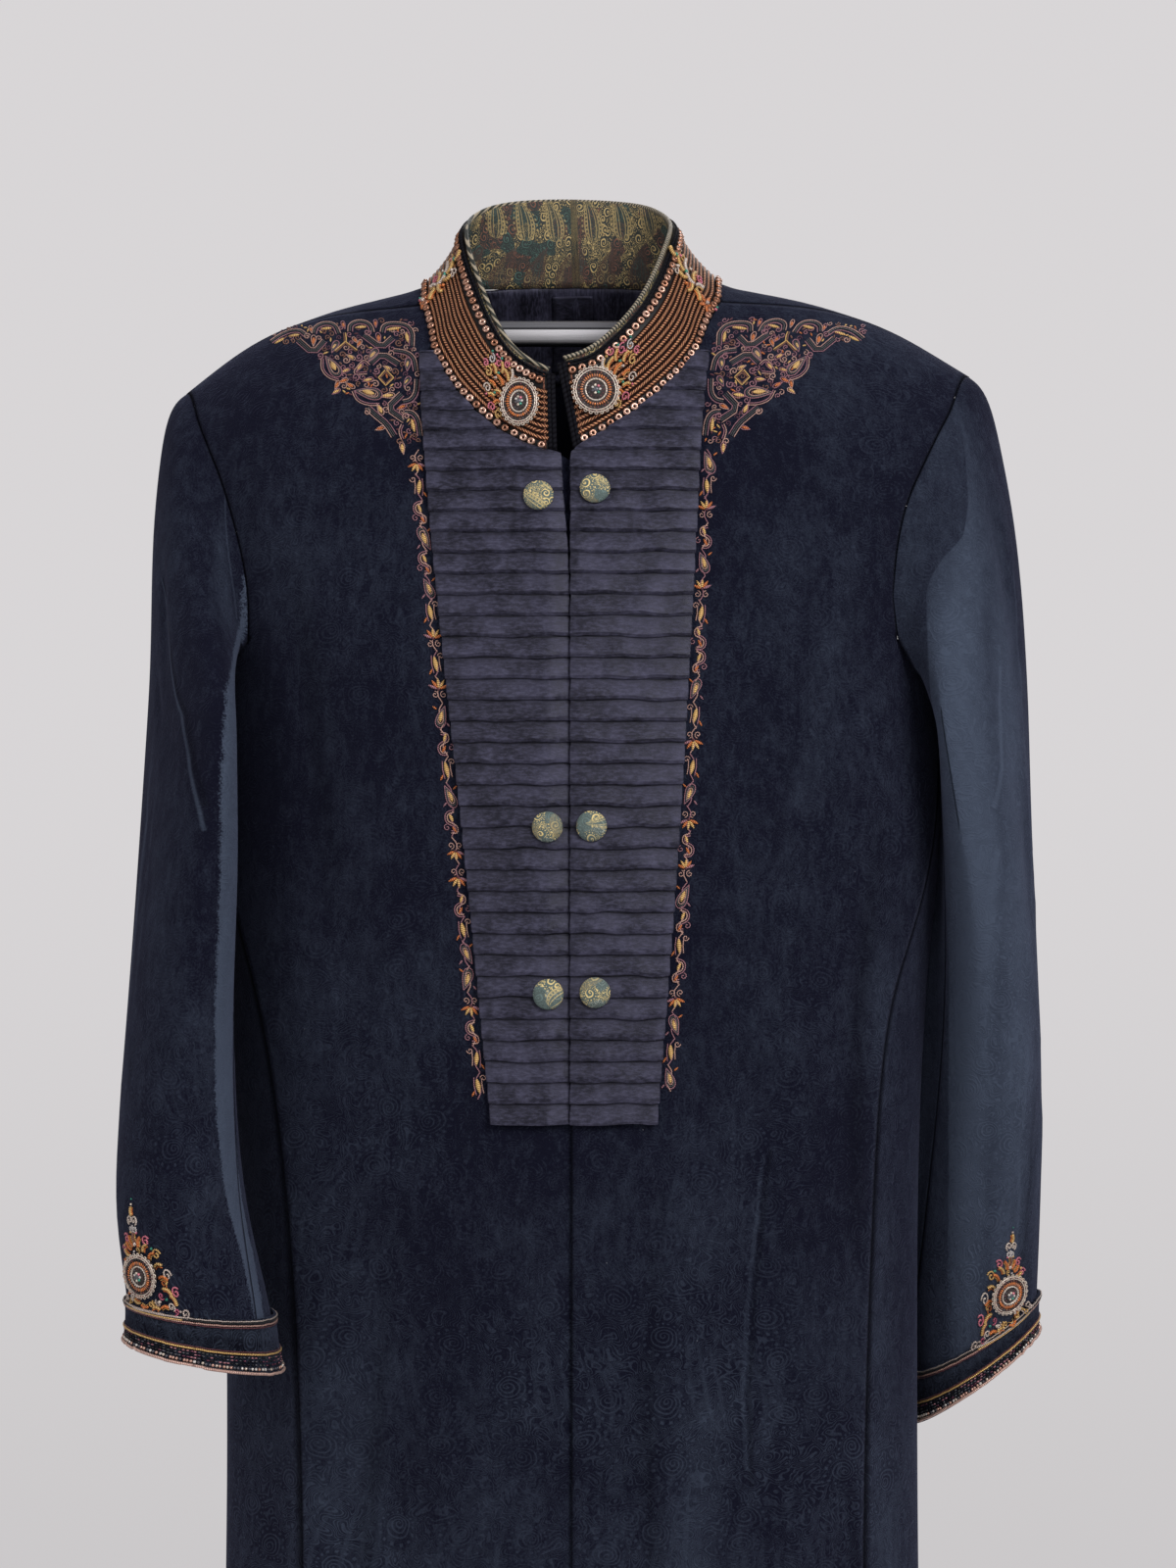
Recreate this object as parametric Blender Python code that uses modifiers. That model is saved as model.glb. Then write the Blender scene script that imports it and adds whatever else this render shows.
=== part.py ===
"""Knee-length velvet sherwani coat, hanging filled out on a plain hanger.

The coat faces -Y, its wearer's left is +X and up is +Z. The origin is the middle of the hanger's bar.
Every velvet piece is a wall between two point grids. The outer grid lies on one body or sleeve surface,
worked out from the section tables below, and the inner grid is moved in along that surface's normals, so
neighbouring pieces share their seam and stay SEAM_GAP apart. Satin, braid and bands are made from the
points of the piece they lie on, moved out. Tables are in millimetres and degrees.
"""
import math

import bmesh
import bpy
from mathutils import Vector

MM = 0.001

# Cloth and seams
VELVET = 0.0018
SATIN = 0.0009
BROCADE = 0.0010
BAND_CLOTH = 0.0012
SEAM_GAP = 0.0003
LAY_GAP = 0.0005

# Coat length and the rows that its panels share, from the hem up to the bib's bottom edge
BIB_BOTTOM = -0.4775
SKIRT_ROWS = (-1.045, -0.950, -0.860, -0.770, -0.685, -0.610, -0.540, BIB_BOTTOM)
TUCK_PITCH = 0.01235
TUCK_COUNT = 37
TUCK_HEIGHT = 0.0014
TUCK_LEDGE = 0.0005
BIB_BODY_TUCKS = (3, 6, 9, 12, 15, 18, 21)
BIB_YOKE_TUCKS = (22, 23, 24, 27, 30)
NECK_TUCKS = (33, 34, 35, 36, 37, 38)

# Body sections: height, half width, front depth, back depth, centre towards +X
BODY = (
    (-1045, 227, 134, 139, 0),
    (-900, 221, 128, 133, 0),
    (-770, 218, 123, 129, 0),
    (-650, 217, 121, 126, 0),
    (-500, 217.5, 120, 117, 0),
    (-400, 221, 119, 109, 2),
    (-330, 226, 118, 111, 4),
    (-270, 226, 116.5, 117, 4),
    (-200, 224, 113, 121, 4),
    (-150, 229, 107, 121, 4),
    (-110, 240, 99, 115, 4),
    (-80, 256, 91, 107, 3),
    (-40, 285, 79, 93, 1),
    (0, 310, 67, 76, 0),
    (40, 330, 58, 58, 0),
)
BODY_POWER = 2.2

# Shoulder ridge: distance from the middle, height on the left (+X) side, height on the right (-X) side
RIDGE = (
    (0, 75, 75),
    (30, 69, 69),
    (60, 52, 51),
    (80, 38.5, 37),
    (93, 31.5, 29.5),
    (120, 25.6, 22.0),
    (150, 19.2, 14.6),
    (198, 2.0, -6.0),
    (240, -22.5, -37.5),
    (260, -34, -52),
)
RIDGE_ROUND = 0.110

# Forward set of the shoulder seam: distance from the middle, turn over the ridge in degrees
SHOULDER_SEAM = (
    (90, 33),
    (120, 26),
    (150, 19),
    (185, 8),
    (215, 4),
    (250, 0),
)
SHOULDER_TIP = {1: 0.2475, -1: -0.2400}

# Front edge of the neck: height, distance from the middle on the left (+X), on the right (-X)
NECK_EDGE = (
    (-84.5, 0, 0.9),
    (-80.5, 5.5, 22),
    (-69.9, 22, 43),
    (-57.6, 40, 57),
    (-45.2, 54.8, 68.5),
    (-32.9, 66.5, 76),
    (-20.5, 75.3, 82.5),
    (-8.2, 82.5, 88),
    (12, 90.5, 91.0),
)
NECK_CORNER = -0.0845
NECK_TURN = -0.0805

# Back edge of the neck: distance from the middle, height
BACK_NECK = (
    (88, 29.0),
    (72, 31.5),
    (48, 34),
    (22, 35.5),
    (0, 36),
)
NECK_SIDE = 0.0925

# Outer edge of the bib: height, distance from the middle on the left (+X), on the right (-X)
BIB_EDGE = (
    (-477.5, 49.6, 45.8),
    (-326, 61.5, 60.8),
    (-109, 74.5, 84),
    (-61, 77.6, 88),
    (-8, 85, 92),
    (14, 94, 96.5),
)
UNDERLAP = 0.020
STEP_START = 0.0007
STEP_RUN = 0.0123
STEP_FADE = -0.0660
PLACKET_OPEN = 0.0055
PLACKET_CLOSED = -0.170

# Front armhole: height, distance from the middle on the left (+X), on the right (-X)
ARMHOLE_FRONT = (
    (-194, 196, 194.5),
    (-167, 192.5, 194.0),
    (-138, 195, 199.5),
    (-118, 199.5, 205),
    (-105, 204, 209),
    (-93, 209.5, 213),
    (-82, 215, 218),
    (-71, 220.5, 222.5),
    (-60, 226.5, 227.5),
    (-49, 233.5, 233),
    (-38, 240.5, 238),
)
# Height of the armhole at the outer end of each yoke row, in NECK_TUCKS order, for +X
ARMHOLE_ROWS = {30: -0.138, 32: -0.118, 33: -0.107, 34: -0.096, 35: -0.085, 36: -0.074, 37: -0.063,
                38: -0.052}
UNDERARM_ANGLES = {21: 84, 22: 76, 23: 68}
UNDERARM_HEIGHTS = {21: -0.2120, 22: -0.2085, 23: -0.2020}
# Back armhole: height, distance from the middle (both sides)
ARMHOLE_BACK = (
    (-203, 212),
    (-182, 207),
    (-155, 205),
    (-125, 206.5),
    (-98, 212),
    (-74, 220.5),
    (-54, 230.5),
    (-39, 239.5),
    (-31.5, 244.4),
    (-27.8, 246.7),
)
BACK_SCALE_RIGHT = 0.970
BACK_DROP_RIGHT = 0.0115
BACK_UNDERARM = (112, -0.2060)
SIDE_TOP = (98, -0.2130)

# Front side seam: height, angle from the front on the left (+X), on the right (-X)
SIDE_SEAM = (
    (-1045, 50, 43),
    (-770, 51, 44),
    (-610, 53, 46),
    (-520, 55, 49),
    (-460, 56, 53),
    (-400, 59, 59),
    (-360, 66, 66),
    (-300, 75, 75),
    (-212, 84, 84),
)
# Back side seam: height, angle from the front
BACK_SEAM = (
    (-1045, 126),
    (-600, 124),
    (-400, 119),
    (-206, 112),
)

# Soft folds of the skirt: angle from the front at the top and at the hem, half width in degrees,
# height out of the surface, top of the fold, full depth height
FOLDS = (
    (-33, -30, 7.0, -3.6, -400, -620),
    (-44, -43, 7.0, 3.4, -360, -600),
    (-17, -13, 7.5, 2.2, -560, -820),
    (16, 10, 7.5, 2.6, -470, -700),
    (29, 21, 7.0, -3.2, -380, -640),
    (42, 37, 8.0, 3.0, -420, -680),
    (70, 68, 10.0, 3.0, -560, -900),
    (-70, -68, 10.0, 3.0, -560, -900),
    (100, 98, 12.0, -3.6, -540, -900),
    (-100, -98, 12.0, -3.6, -540, -900),
    (148, 142, 10.0, 4.2, -430, -820),
    (-146, -141, 10.0, 4.0, -450, -820),
    (166, 160, 8.0, -3.4, -380, -760),
    (-165, -161, 8.0, -3.4, -400, -780),
    (180, 180, 8.0, 3.2, -420, -800),
)

# Sleeve rings: height of the centre, distance from the middle, centre y, half size out to the side,
# half size to the front, turn inwards of the front end, flatness of the inner side at the front and at
# the back, rise of the outer side
SLEEVE_LEFT = (
    (-250, 241.0, -12, 41.0, 79, 14, 0.70, 0.85, 0.00),
    (-330, 246.0, -14, 38.5, 71, 8, 0.50, 0.65, 0.00),
    (-400, 249.0, -8, 39, 65, 0, 0.40, 0.45, 0.02),
    (-460, 251.5, 0, 40.5, 58, 0, 0.30, 0.30, 0.08),
    (-523, 253.0, 10, 41, 50, 4, 0.22, 0.22, 0.22),
    (-587, 253.5, 22, 40.5, 41, 12, 0.14, 0.14, 0.48),
    (-655, 254.0, 35, 39.5, 34, 22, 0.00, 0.00, 0.80),
)
SLEEVE_RIGHT = (
    (-250, 228, -43, 26.5, 86, 19, 0.30, 0.60, 0.00),
    (-338, 229.5, -60, 30, 74, 18, 0.00, 0.60, 0.00),
    (-396, 231, -70, 32, 66, 16, 0.00, 0.60, 0.00),
    (-471, 231.5, -80, 36.5, 58, 14, 0.00, 0.40, 0.00),
    (-534, 228, -93, 41.5, 48, 10, 0.00, 0.25, 0.04),
    (-580, 217, -103, 43, 39, 5, 0.00, 0.10, 0.12),
    (-614, 214.5, -109, 44, 34, 0, 0.00, 0.00, 0.22),
)
CUFF_DEPTH = 0.030
SLEEVE_STEPS = (0.0, 0.16, 0.32, 0.48, 0.64, 0.79, 1.0)
CAP_STEPS = (0.0, 0.05, 0.13, 0.26, 0.43, 0.62, 0.82)
# Direction in which the sleeve leaves the armhole: angle round it from the tip (front is 90),
# outwards, forwards, upwards
CAP_START = (
    (0, 0.62, 0.00, -0.78),
    (50, 0.62, 0.18, -0.76),
    (90, 0.60, 0.20, -0.77),
    (140, 0.56, 0.10, -0.82),
    (180, 0.55, 0.00, -0.83),
    (220, 0.56, -0.10, -0.82),
    (270, 0.60, -0.18, -0.77),
    (310, 0.62, -0.10, -0.76),
    (360, 0.62, 0.00, -0.78),
)
CAP_START_PULL = 0.75
CAP_END_PULL = 0.65
CAP_PUFF = 0.0042
UNDER_SLEEVE_ANGLES = (148, 286)

# Collar top edge: angle from the front, height on the left (+X), on the right (-X)
COLLAR_TOP = (
    (-12, -29, -38),
    (6, -27, -36),
    (18, -18, -31),
    (30, -5, -21),
    (42, 9, -4),
    (54, 26, 17),
    (72, 50, 43),
    (90, 64, 62),
    (110, 73.5, 72.5),
    (135, 83, 83),
    (160, 87.5, 88),
    (180, 89, 89),
)
COLLAR_TOP_CENTRE = (-0.002, -0.015)
COLLAR_TOP_HALF = 0.0655
COLLAR_TOP_FRONT = 0.068
COLLAR_TOP_BACK = 0.058
COLLAR_BASE_CENTRE = (-0.001, -0.015)
COLLAR_BASE_HALF = 0.0925
COLLAR_BASE_FRONT = 0.076
COLLAR_BASE_BACK = 0.060
COLLAR_BULGE = 0.0022
COLLAR_HOLLOW = 0.0034
COLLAR_END_RIGHT = -0.0130
BRAID_ROWS = 9
BRAID_START = 0.11
BRAID_END = 0.76
BRAID_HEIGHT = 0.0009
PIPING_RADIUS = 0.0016

# Neck lining and label
LINING_DEPTH = 3
LABEL_HALF_WIDTH = 0.013
LABEL_TOP = 0.0335
LABEL_BOTTOM = -0.010

# Buttons: centre x, centre height (three pairs), and size
BUTTONS = (
    ("button_top_right", -0.0190, -0.1115),
    ("button_top_left", 0.0140, -0.1075),
    ("button_middle_right", -0.0135, -0.3050),
    ("button_middle_left", 0.0120, -0.3045),
    ("button_bottom_right", -0.0130, -0.4020),
    ("button_bottom_left", 0.0140, -0.4010),
)
BUTTON_RADIUS = 0.0094
BUTTON_THICKNESS = 0.0052

MEDALLION_RADIUS = 0.0125
MEDALLION_THICKNESS = 0.0034
# Collar medallions: side, place along the front of the collar, height up the band, half height
COLLAR_MEDALLIONS = (
    ("collar_medallion_left", 1, -0.0215 + 0.0360, 0.50, 0.0140, 0.0135),
    ("collar_medallion_right", -1, -0.0305, 0.42, 0.0140, 0.0108),
)

# Hanger
BAR_RADIUS = 0.0080
BAR_HALF_LENGTH = 0.0780
# Arm of the hanger: distance from the middle, radius
ARM = ((104, 12), (125, 12), (150, 11), (182, 10), (212, 8))
ARM_ROOT = ((78.3, 12), (85, 12))
ARM_ROOT_HEIGHT = 0.004
ARM_REST_GAP = 0.0018


# ---------------------------------------------------------------- small tools

def mix(a, b, t):
    """Point or number between a and b."""
    return a + (b - a) * t


def ease(low, high, value):
    """0 below low, 1 above high and a smooth step between."""
    t = min(max((value - low) / (high - low), 0.0), 1.0)
    return t * t * (3.0 - 2.0 * t)


def read(rows, key, column):
    """Value of a column at a key, on a smooth curve through the rows of a table."""
    rows = rows if rows[0][0] < rows[-1][0] else rows[::-1]
    keys = [row[0] for row in rows]
    values = [row[column] for row in rows]
    if key <= keys[0]:
        return values[0]
    if key >= keys[-1]:
        return values[-1]
    slopes = [(values[i + 1] - values[i]) / (keys[i + 1] - keys[i]) for i in range(len(keys) - 1)]
    i = max(k for k in range(len(keys) - 1) if keys[k] <= key)
    span = keys[i + 1] - keys[i]
    before = slopes[i] if i == 0 else 0.5 * (slopes[i - 1] + slopes[i])
    after = slopes[i] if i == len(slopes) - 1 else 0.5 * (slopes[i] + slopes[i + 1])
    t = (key - keys[i]) / span
    return ((2 * t**3 - 3 * t**2 + 1) * values[i] + (t**3 - 2 * t**2 + t) * span * before
            + (3 * t**2 - 2 * t**3) * values[i + 1] + (t**3 - t**2) * span * after)


def side_column(side):
    """Column of a table that holds the values of the left (+X) or the right (-X) side."""
    return 1 if side > 0 else 2


# ---------------------------------------------------------------- the body's surface

def body_size(z):
    """Half width, front depth, back depth and centre of the body's section at a height."""
    return [read(BODY, z / MM, column) * MM for column in (1, 2, 3, 4)]


def ridge_height(x):
    """Height of the shoulder ridge above a place across the body."""
    return read(RIDGE, abs(x) / MM, side_column(x)) * MM


def turn_of(x, z):
    """Turn over the shoulder ridge, in radians, at which the surface reaches a height."""
    drop = max(ridge_height(x) - z, 0.0)
    if drop >= RIDGE_ROUND:
        return math.pi / 2 + drop / RIDGE_ROUND - 1.0
    return math.acos(1.0 - drop / RIDGE_ROUND)


def over_ridge(x, turn):
    """Point of the body at x, turned over the ridge to the front (+) or to the back (-)."""
    size = abs(turn)
    rounded = min(size, math.pi / 2)
    drop = RIDGE_ROUND * (1.0 - math.cos(rounded) + size - rounded)
    z = ridge_height(x) - drop
    half, front, back, centre = body_size(z)
    reach = min(abs(x - centre) / half, 0.99995)
    depth = (1.0 - reach**BODY_POWER) ** (1.0 / BODY_POWER)
    y = -front * depth if turn >= 0 else back * depth
    return Vector((x, y * math.sin(rounded), z))


def round_body(angle, z):
    """Point of the body at a height and at an angle in degrees from the front, +X positive."""
    half, front, back, centre = body_size(z)
    s = math.sin(math.radians(angle))
    c = math.cos(math.radians(angle))
    x = math.copysign(abs(s) ** (2.0 / BODY_POWER), s) * half + centre
    y = -math.copysign(abs(c) ** (2.0 / BODY_POWER), c) * (front if c > 0 else back)
    return Vector((x, y, z))


def angle_of(x, z, to_back=False):
    """Angle from the front at which the body's section reaches a place across it."""
    half, _, _, centre = body_size(z)
    reach = min(max((x - centre) / half, -1.0), 1.0)
    angle = math.degrees(math.asin(math.copysign(abs(reach) ** (BODY_POWER / 2.0), reach)))
    if to_back:
        return math.copysign(180.0, angle) - angle
    return angle


def fold_height(angle, z):
    """How far the soft folds move the surface out at an angle and a height."""
    height = 0.0
    for top_angle, hem_angle, width, out, top, full in FOLDS:
        grown = ease(-top * MM, -full * MM, -z)
        if grown == 0.0:
            continue
        centre = mix(top_angle, hem_angle, ease(-top * MM, 1.045, -z))
        away = (angle - centre + 180.0) % 360.0 - 180.0
        height += out * MM * grown * math.exp(-(away / width) ** 2)
    return height


class Site:
    """A place on a surface: its point and the outward normal there."""

    def __init__(self, point, normal):
        self.point = point
        self.normal = normal

    def out(self, distance):
        """Point moved out along the normal."""
        return self.point + self.normal * distance

    def between(self, other, t):
        """Place on the straight line to another."""
        return Site(mix(self.point, other.point, t), mix(self.normal, other.normal, t).normalized())


def site(surface, u, v, outward):
    """Place on a surface given by a function of two numbers, facing away from a point."""
    u_step = 1e-4 if abs(u) < 2 else 0.05
    v_step = 1e-4 if abs(v) < 2 else 0.05
    along_u = surface(u + u_step, v) - surface(u - u_step, v)
    along_v = surface(u, v + v_step) - surface(u, v - v_step)
    point = surface(u, v)
    normal = along_u.cross(along_v).normalized()
    if normal.dot(outward(point)) < 0:
        normal = -normal
    return Site(point, normal)


def from_axis(point):
    """Direction away from a line up the middle of the trunk, which bends over at the shoulders."""
    return Vector((point.x, point.y, max(point.z + 0.16, 0.0)))


def ridge_site(x, turn):
    """Place on the upper body."""
    return site(over_ridge, x, turn, from_axis)


def round_site(angle, z):
    """Place on the trunk, with the skirt's folds."""
    place = site(round_body, angle, z, from_axis)
    place.point = place.out(fold_height(angle, z))
    return place


def body_site(x, z, to_back=False):
    """Place on the body at x and a height, on its front or its back."""
    turn = turn_of(x, z)
    half, _, _, centre = body_size(z)
    if turn > math.pi / 2 and abs(x - centre) > 0.72 * half:
        return round_site(angle_of(x, z, to_back), z)
    place = ridge_site(x, -turn if to_back else turn)
    place.point = place.out(fold_height(angle_of(x, z, to_back), z))
    return place


def seam_turn(x):
    """Turn over the ridge at which the shoulder seam lies, in radians."""
    return math.radians(read(SHOULDER_SEAM, abs(x) / MM, 1))


# ---------------------------------------------------------------- walls

def new_object(name, mesh, material):
    """Object in the coat's collection, with its material."""
    mesh.materials.append(material)
    piece = bpy.data.objects.new(name, mesh)
    bpy.data.collections[COLLECTION].objects.link(piece)
    return piece


def closed_wall(name, outer, inner, material, kept=None, ring=False):
    """Closed wall between two point grids, given in rows.

    kept names the outer rows that the inner rows lie under, where the outer side has more rows.
    A ring's last column is followed by its first.
    """
    kept = list(range(len(outer))) if kept is None else kept
    columns = len(outer[0])
    points = [point for row in outer for point in row]
    inner_start = len(points)
    points += [point for row in inner for point in row]

    def out_at(row, column):
        return row * columns + column % columns

    def in_at(row, column):
        return inner_start + row * columns + column % columns

    faces = []
    last = columns if ring else columns - 1
    for row in range(len(outer) - 1):
        for column in range(last):
            faces.append((out_at(row, column), out_at(row, column + 1),
                          out_at(row + 1, column + 1), out_at(row + 1, column)))
    for row in range(len(inner) - 1):
        for column in range(last):
            faces.append((in_at(row, column), in_at(row + 1, column),
                          in_at(row + 1, column + 1), in_at(row, column + 1)))
    for column in range(last):
        faces.append((out_at(0, column), in_at(0, column), in_at(0, column + 1), out_at(0, column + 1)))
        top, under = len(outer) - 1, len(inner) - 1
        faces.append((out_at(top, column), out_at(top, column + 1),
                      in_at(under, column + 1), in_at(under, column)))
    if not ring:
        for row in range(len(inner) - 1):
            rim = range(kept[row], kept[row + 1] + 1)
            near = [out_at(r, 0) for r in rim]
            faces.append(near + [in_at(row + 1, 0), in_at(row, 0)])
            far = [out_at(r, columns - 1) for r in rim]
            faces.append([in_at(row, columns - 1), in_at(row + 1, columns - 1)] + far[::-1])
    mesh = bpy.data.meshes.new(name)
    mesh.from_pydata([tuple(point) for point in points], [], faces)
    face_outwards(mesh)
    return new_object(name, mesh, material)


def face_outwards(mesh):
    """Turn every face of a closed mesh to the outside."""
    body = bmesh.new()
    body.from_mesh(mesh)
    if body.calc_volume(signed=True) < 0:
        bmesh.ops.reverse_faces(body, faces=body.faces)
    for face in body.faces:
        face.smooth = True
    body.to_mesh(mesh)
    body.free()
    mesh.set_sharp_from_angle(angle=math.radians(40))


def drawn_in(outer, inner, ring=False):
    """Both grids with their edges drawn in by half a seam gap, so that neighbours stay apart."""
    rows, columns = len(outer), len(outer[0])

    def shift(row, column):
        move = Vector()
        here = outer[row][column]
        if row in (0, rows - 1):
            move += (outer[1 if row == 0 else rows - 2][column] - here).normalized()
        if not ring and column in (0, columns - 1):
            move += (outer[row][1 if column == 0 else columns - 2] - here).normalized()
        return move * SEAM_GAP / 2

    moves = [[shift(row, column) for column in range(columns)] for row in range(rows)]
    return ([[outer[r][c] + moves[r][c] for c in range(columns)] for r in range(rows)],
            [[inner[r][c] + moves[r][c] for c in range(columns)] for r in range(rows)])


def cloth(name, sites, thickness, material, ring=False):
    """Cloth wall whose outer side is a grid of places and whose edges are seams."""
    outer = [[place.point for place in row] for row in sites]
    inner = [[place.out(-thickness) for place in row] for row in sites]
    outer, inner = drawn_in(outer, inner, ring)
    return closed_wall(name, outer, inner, material, ring=ring)


# ---------------------------------------------------------------- front, side and back panels

def tuck_height(count):
    """Height of a tuck's lower edge, counted up from the bib's bottom."""
    return BIB_BOTTOM + count * TUCK_PITCH


def bib_edge(z, side):
    """Place of the bib's outer edge across the body."""
    return side * read(BIB_EDGE, z / MM, side_column(side)) * MM


def neck_edge(z, side):
    """Place of the neck's front edge across the body."""
    return side * read(NECK_EDGE, z / MM, side_column(side)) * MM


def underarm_site(count, side):
    """Place on the front stretch of the armhole that lies under the arm."""
    return round_site(side * UNDERARM_ANGLES[count], UNDERARM_HEIGHTS[count])


def armhole_x(z, side):
    """Place of the front armhole edge across the body."""
    return side * read(ARMHOLE_FRONT, z / MM, side_column(side)) * MM


def front_outer_end(count, z, side):
    """x and height of the outer end of a front panel's row."""
    if count is None or count <= 20:
        angle = side * read(SIDE_SEAM, z / MM, side_column(side))
        return round_body(angle, z).x, z
    if count in UNDERARM_ANGLES:
        height = UNDERARM_HEIGHTS[count]
        return round_body(side * UNDERARM_ANGLES[count], height).x, height
    height = {24: -0.194, 27: -0.167}.get(count) or ARMHOLE_ROWS[count]
    if side < 0:
        height -= 0.006 if count >= 30 else 0.0
    return armhole_x(height, side), height


def inner_columns(z, side):
    """x of the front panel's columns from its front edge to the bib's edge."""
    edge = bib_edge(z, side)
    if z > NECK_CORNER + 0.0001:
        start = neck_edge(z, side)
        parts = (0.0, 0.30, 0.65, 1.0) if side > 0 else (0.0, 0.05, 0.20, 0.60, 1.0)
        return [mix(start, edge, part) for part in parts]
    if side > 0:
        return [mix(0.0, edge, part) for part in (0.0, 0.33, 0.66, 1.0)]
    if z > NECK_CORNER - 0.0001:
        return [side * NECK_EDGE[0][2] * MM, -0.004, -STEP_START - STEP_RUN, 0.6 * edge, edge]
    return [UNDERLAP, -STEP_START, -STEP_START - STEP_RUN, 0.6 * edge, edge]


def placket_gap(z):
    """How far the bib's right half stands off the middle at a height."""
    return PLACKET_OPEN * ease(PLACKET_CLOSED, NECK_CORNER, z)


def step_under(x, z, side):
    """How far the right front dips so that the left front can close over it.

    Above the corner of the neck the dip follows the neck's edge and fades out.
    """
    if side > 0:
        return 0.0
    start, deep = -STEP_START, VELVET + LAY_GAP
    if z > NECK_CORNER:
        start = min(start, neck_edge(z, side))
        deep *= 1.0 - ease(NECK_CORNER, STEP_FADE, z)
    return deep * ease(start - STEP_RUN, start, x)


def front_row(z, count, side):
    """Places of one row of a front panel, from its front edge to its seam or armhole."""
    inner = inner_columns(z, side)
    end_x, end_z = front_outer_end(count, z, side)
    row = []
    for x in inner:
        place = body_site(x, z)
        row.append(Site(place.out(-step_under(x, z, side)), place.normal))
    start_angle = angle_of(inner[-1], z)
    end_angle = angle_of(end_x, end_z)
    for part in OUTER_PARTS[1:]:
        height = mix(z, end_z, ease(0.0, 1.0, part))
        angle = mix(start_angle, end_angle, part)
        x = end_x if part == 1.0 else round_body(angle, height).x
        row.append(body_site(x, height))
    return row


OUTER_PARTS = (0.0, 0.18, 0.36, 0.54, 0.72, 0.87, 1.0)


def shoulder_columns(side):
    """x of the columns that end on the shoulder seam, from the bib's edge to the tip."""
    start = side * BIB_EDGE[-1][side_column(side)] * MM
    return [mix(start, SHOULDER_TIP[side], part) for part in OUTER_PARTS]


def shoulder_row(side):
    """Places of a front panel's top row, which is the shoulder seam."""
    start = neck_edge(0.012, side)
    columns = shoulder_columns(side)
    parts = (0.0, 0.30, 0.65) if side > 0 else (0.0, 0.05, 0.20, 0.60)
    row = [mix(start, columns[0], part) for part in parts]
    return [ridge_site(x, seam_turn(x)) for x in row + columns]


def front_rows(side):
    """All rows of a front panel, hem first."""
    rows = [front_row(z, None, side) for z in SKIRT_ROWS]
    rows += [front_row(tuck_height(count), count, side) for count in BIB_BODY_TUCKS + BIB_YOKE_TUCKS]
    rows.append(front_row(NECK_CORNER, 32, side))
    last = front_row(NECK_TURN, 33, side)
    rows.append([place for place in last])
    for count in NECK_TUCKS[:-1]:
        rows.append(front_row(tuck_height(count), count + 1, side))
    top = shoulder_row(side)
    below = rows[-1]
    for part in (0.33, 0.67):
        rows.append([yoke_site(low, high, part) for low, high in zip(below, top)])
    rows.append(top)
    return rows


def yoke_site(low, high, part):
    """Place between two places of the upper body, measured over the ridge."""
    x = mix(low.point.x, high.point.x, part)
    turn = mix(turn_of(low.point.x, low.point.z), seam_turn(high.point.x), part)
    return ridge_site(x, turn)


def side_heights():
    """Heights of the rows that all panels share along the side seams."""
    return list(SKIRT_ROWS) + [tuck_height(count) for count in BIB_BODY_TUCKS[:-1]]


def side_rows(side):
    """Rows of a side panel, hem first, from the front seam to the back seam."""
    rows = []
    for z in side_heights():
        start = read(SIDE_SEAM, z / MM, side_column(side))
        end = read(BACK_SEAM, z / MM, 1)
        rows.append([round_site(side * mix(start, end, part), z) for part in (0.0, 0.30, 0.52, 0.74, 1.0)])
    rows.append([
        underarm_site(21, side),
        round_site(side * 91, -0.2130),
        round_site(side * SIDE_TOP[0], SIDE_TOP[1]),
        round_site(side * 105, -0.2105),
        round_site(side * BACK_UNDERARM[0], BACK_UNDERARM[1]),
    ])
    return rows


def back_armhole(side):
    """x and height of the back armhole's points, from the back seam up to the tip."""
    points = [(round_body(side * BACK_UNDERARM[0], BACK_UNDERARM[1]).x, BACK_UNDERARM[1])]
    for z, x in ARMHOLE_BACK[1:]:
        if side > 0:
            points.append((x * MM, z * MM))
        else:
            points.append((-x * MM * BACK_SCALE_RIGHT, z * MM - BACK_DROP_RIGHT * ease(-0.16, -0.03, z * MM)))
    return points


def back_top(side):
    """x and turn of the back's top edge, from the shoulder tip to the middle of the neck."""
    top = [(x, seam_turn(x)) for x in reversed(shoulder_columns(side))]
    start = neck_edge(0.012, side)
    top.append((start, seam_turn(start)))
    top.append((mix(start, side * NECK_SIDE, 0.6), 0.5 * seam_turn(start)))
    top.append((side * NECK_SIDE, 0.0))
    top += [(side * x * MM, -turn_of(side * x * MM, z * MM)) for x, z in BACK_NECK]
    return top


BACK_FLARE = 2.5
BACK_PARTS = (1.0, 0.925, 0.85, 0.775, 0.705, 0.645, 0.59, 0.555, 0.525, 0.49, 0.43, 0.345, 0.23, 0.11,
              0.0)


def back_half(side):
    """Rows of one half of the back, hem first, from the side seam to the middle."""
    rows = []
    for z in side_heights():
        edge = round_body(side * read(BACK_SEAM, z / MM, 1), z).x
        rows.append([body_site(mix(0.0, edge, part), z, to_back=True) for part in BACK_PARTS])
    armhole = back_armhole(side)
    top = back_top(side)
    first_x, first_z = armhole[0]
    start = [(mix(0.0, first_x, part), first_z) for part in BACK_PARTS]
    start = [(x, -turn_of(x, z)) for x, z in start]
    lift = [(turn_of(x, z) - turn_of(first_x, first_z)) / -turn_of(first_x, first_z) for x, z in armhole]
    for (x, z), part in zip(armhole, lift):
        row = [body_site(x, z, to_back=True)]
        for (low_x, low_turn), (top_x, top_turn) in zip(start[1:], top[1:]):
            row.append(back_site(mix(low_x, top_x, part**BACK_FLARE), mix(low_turn, top_turn, part)))
        rows.append(row)
    rows.append([ridge_site(x, turn) for x, turn in top])
    return rows


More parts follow.
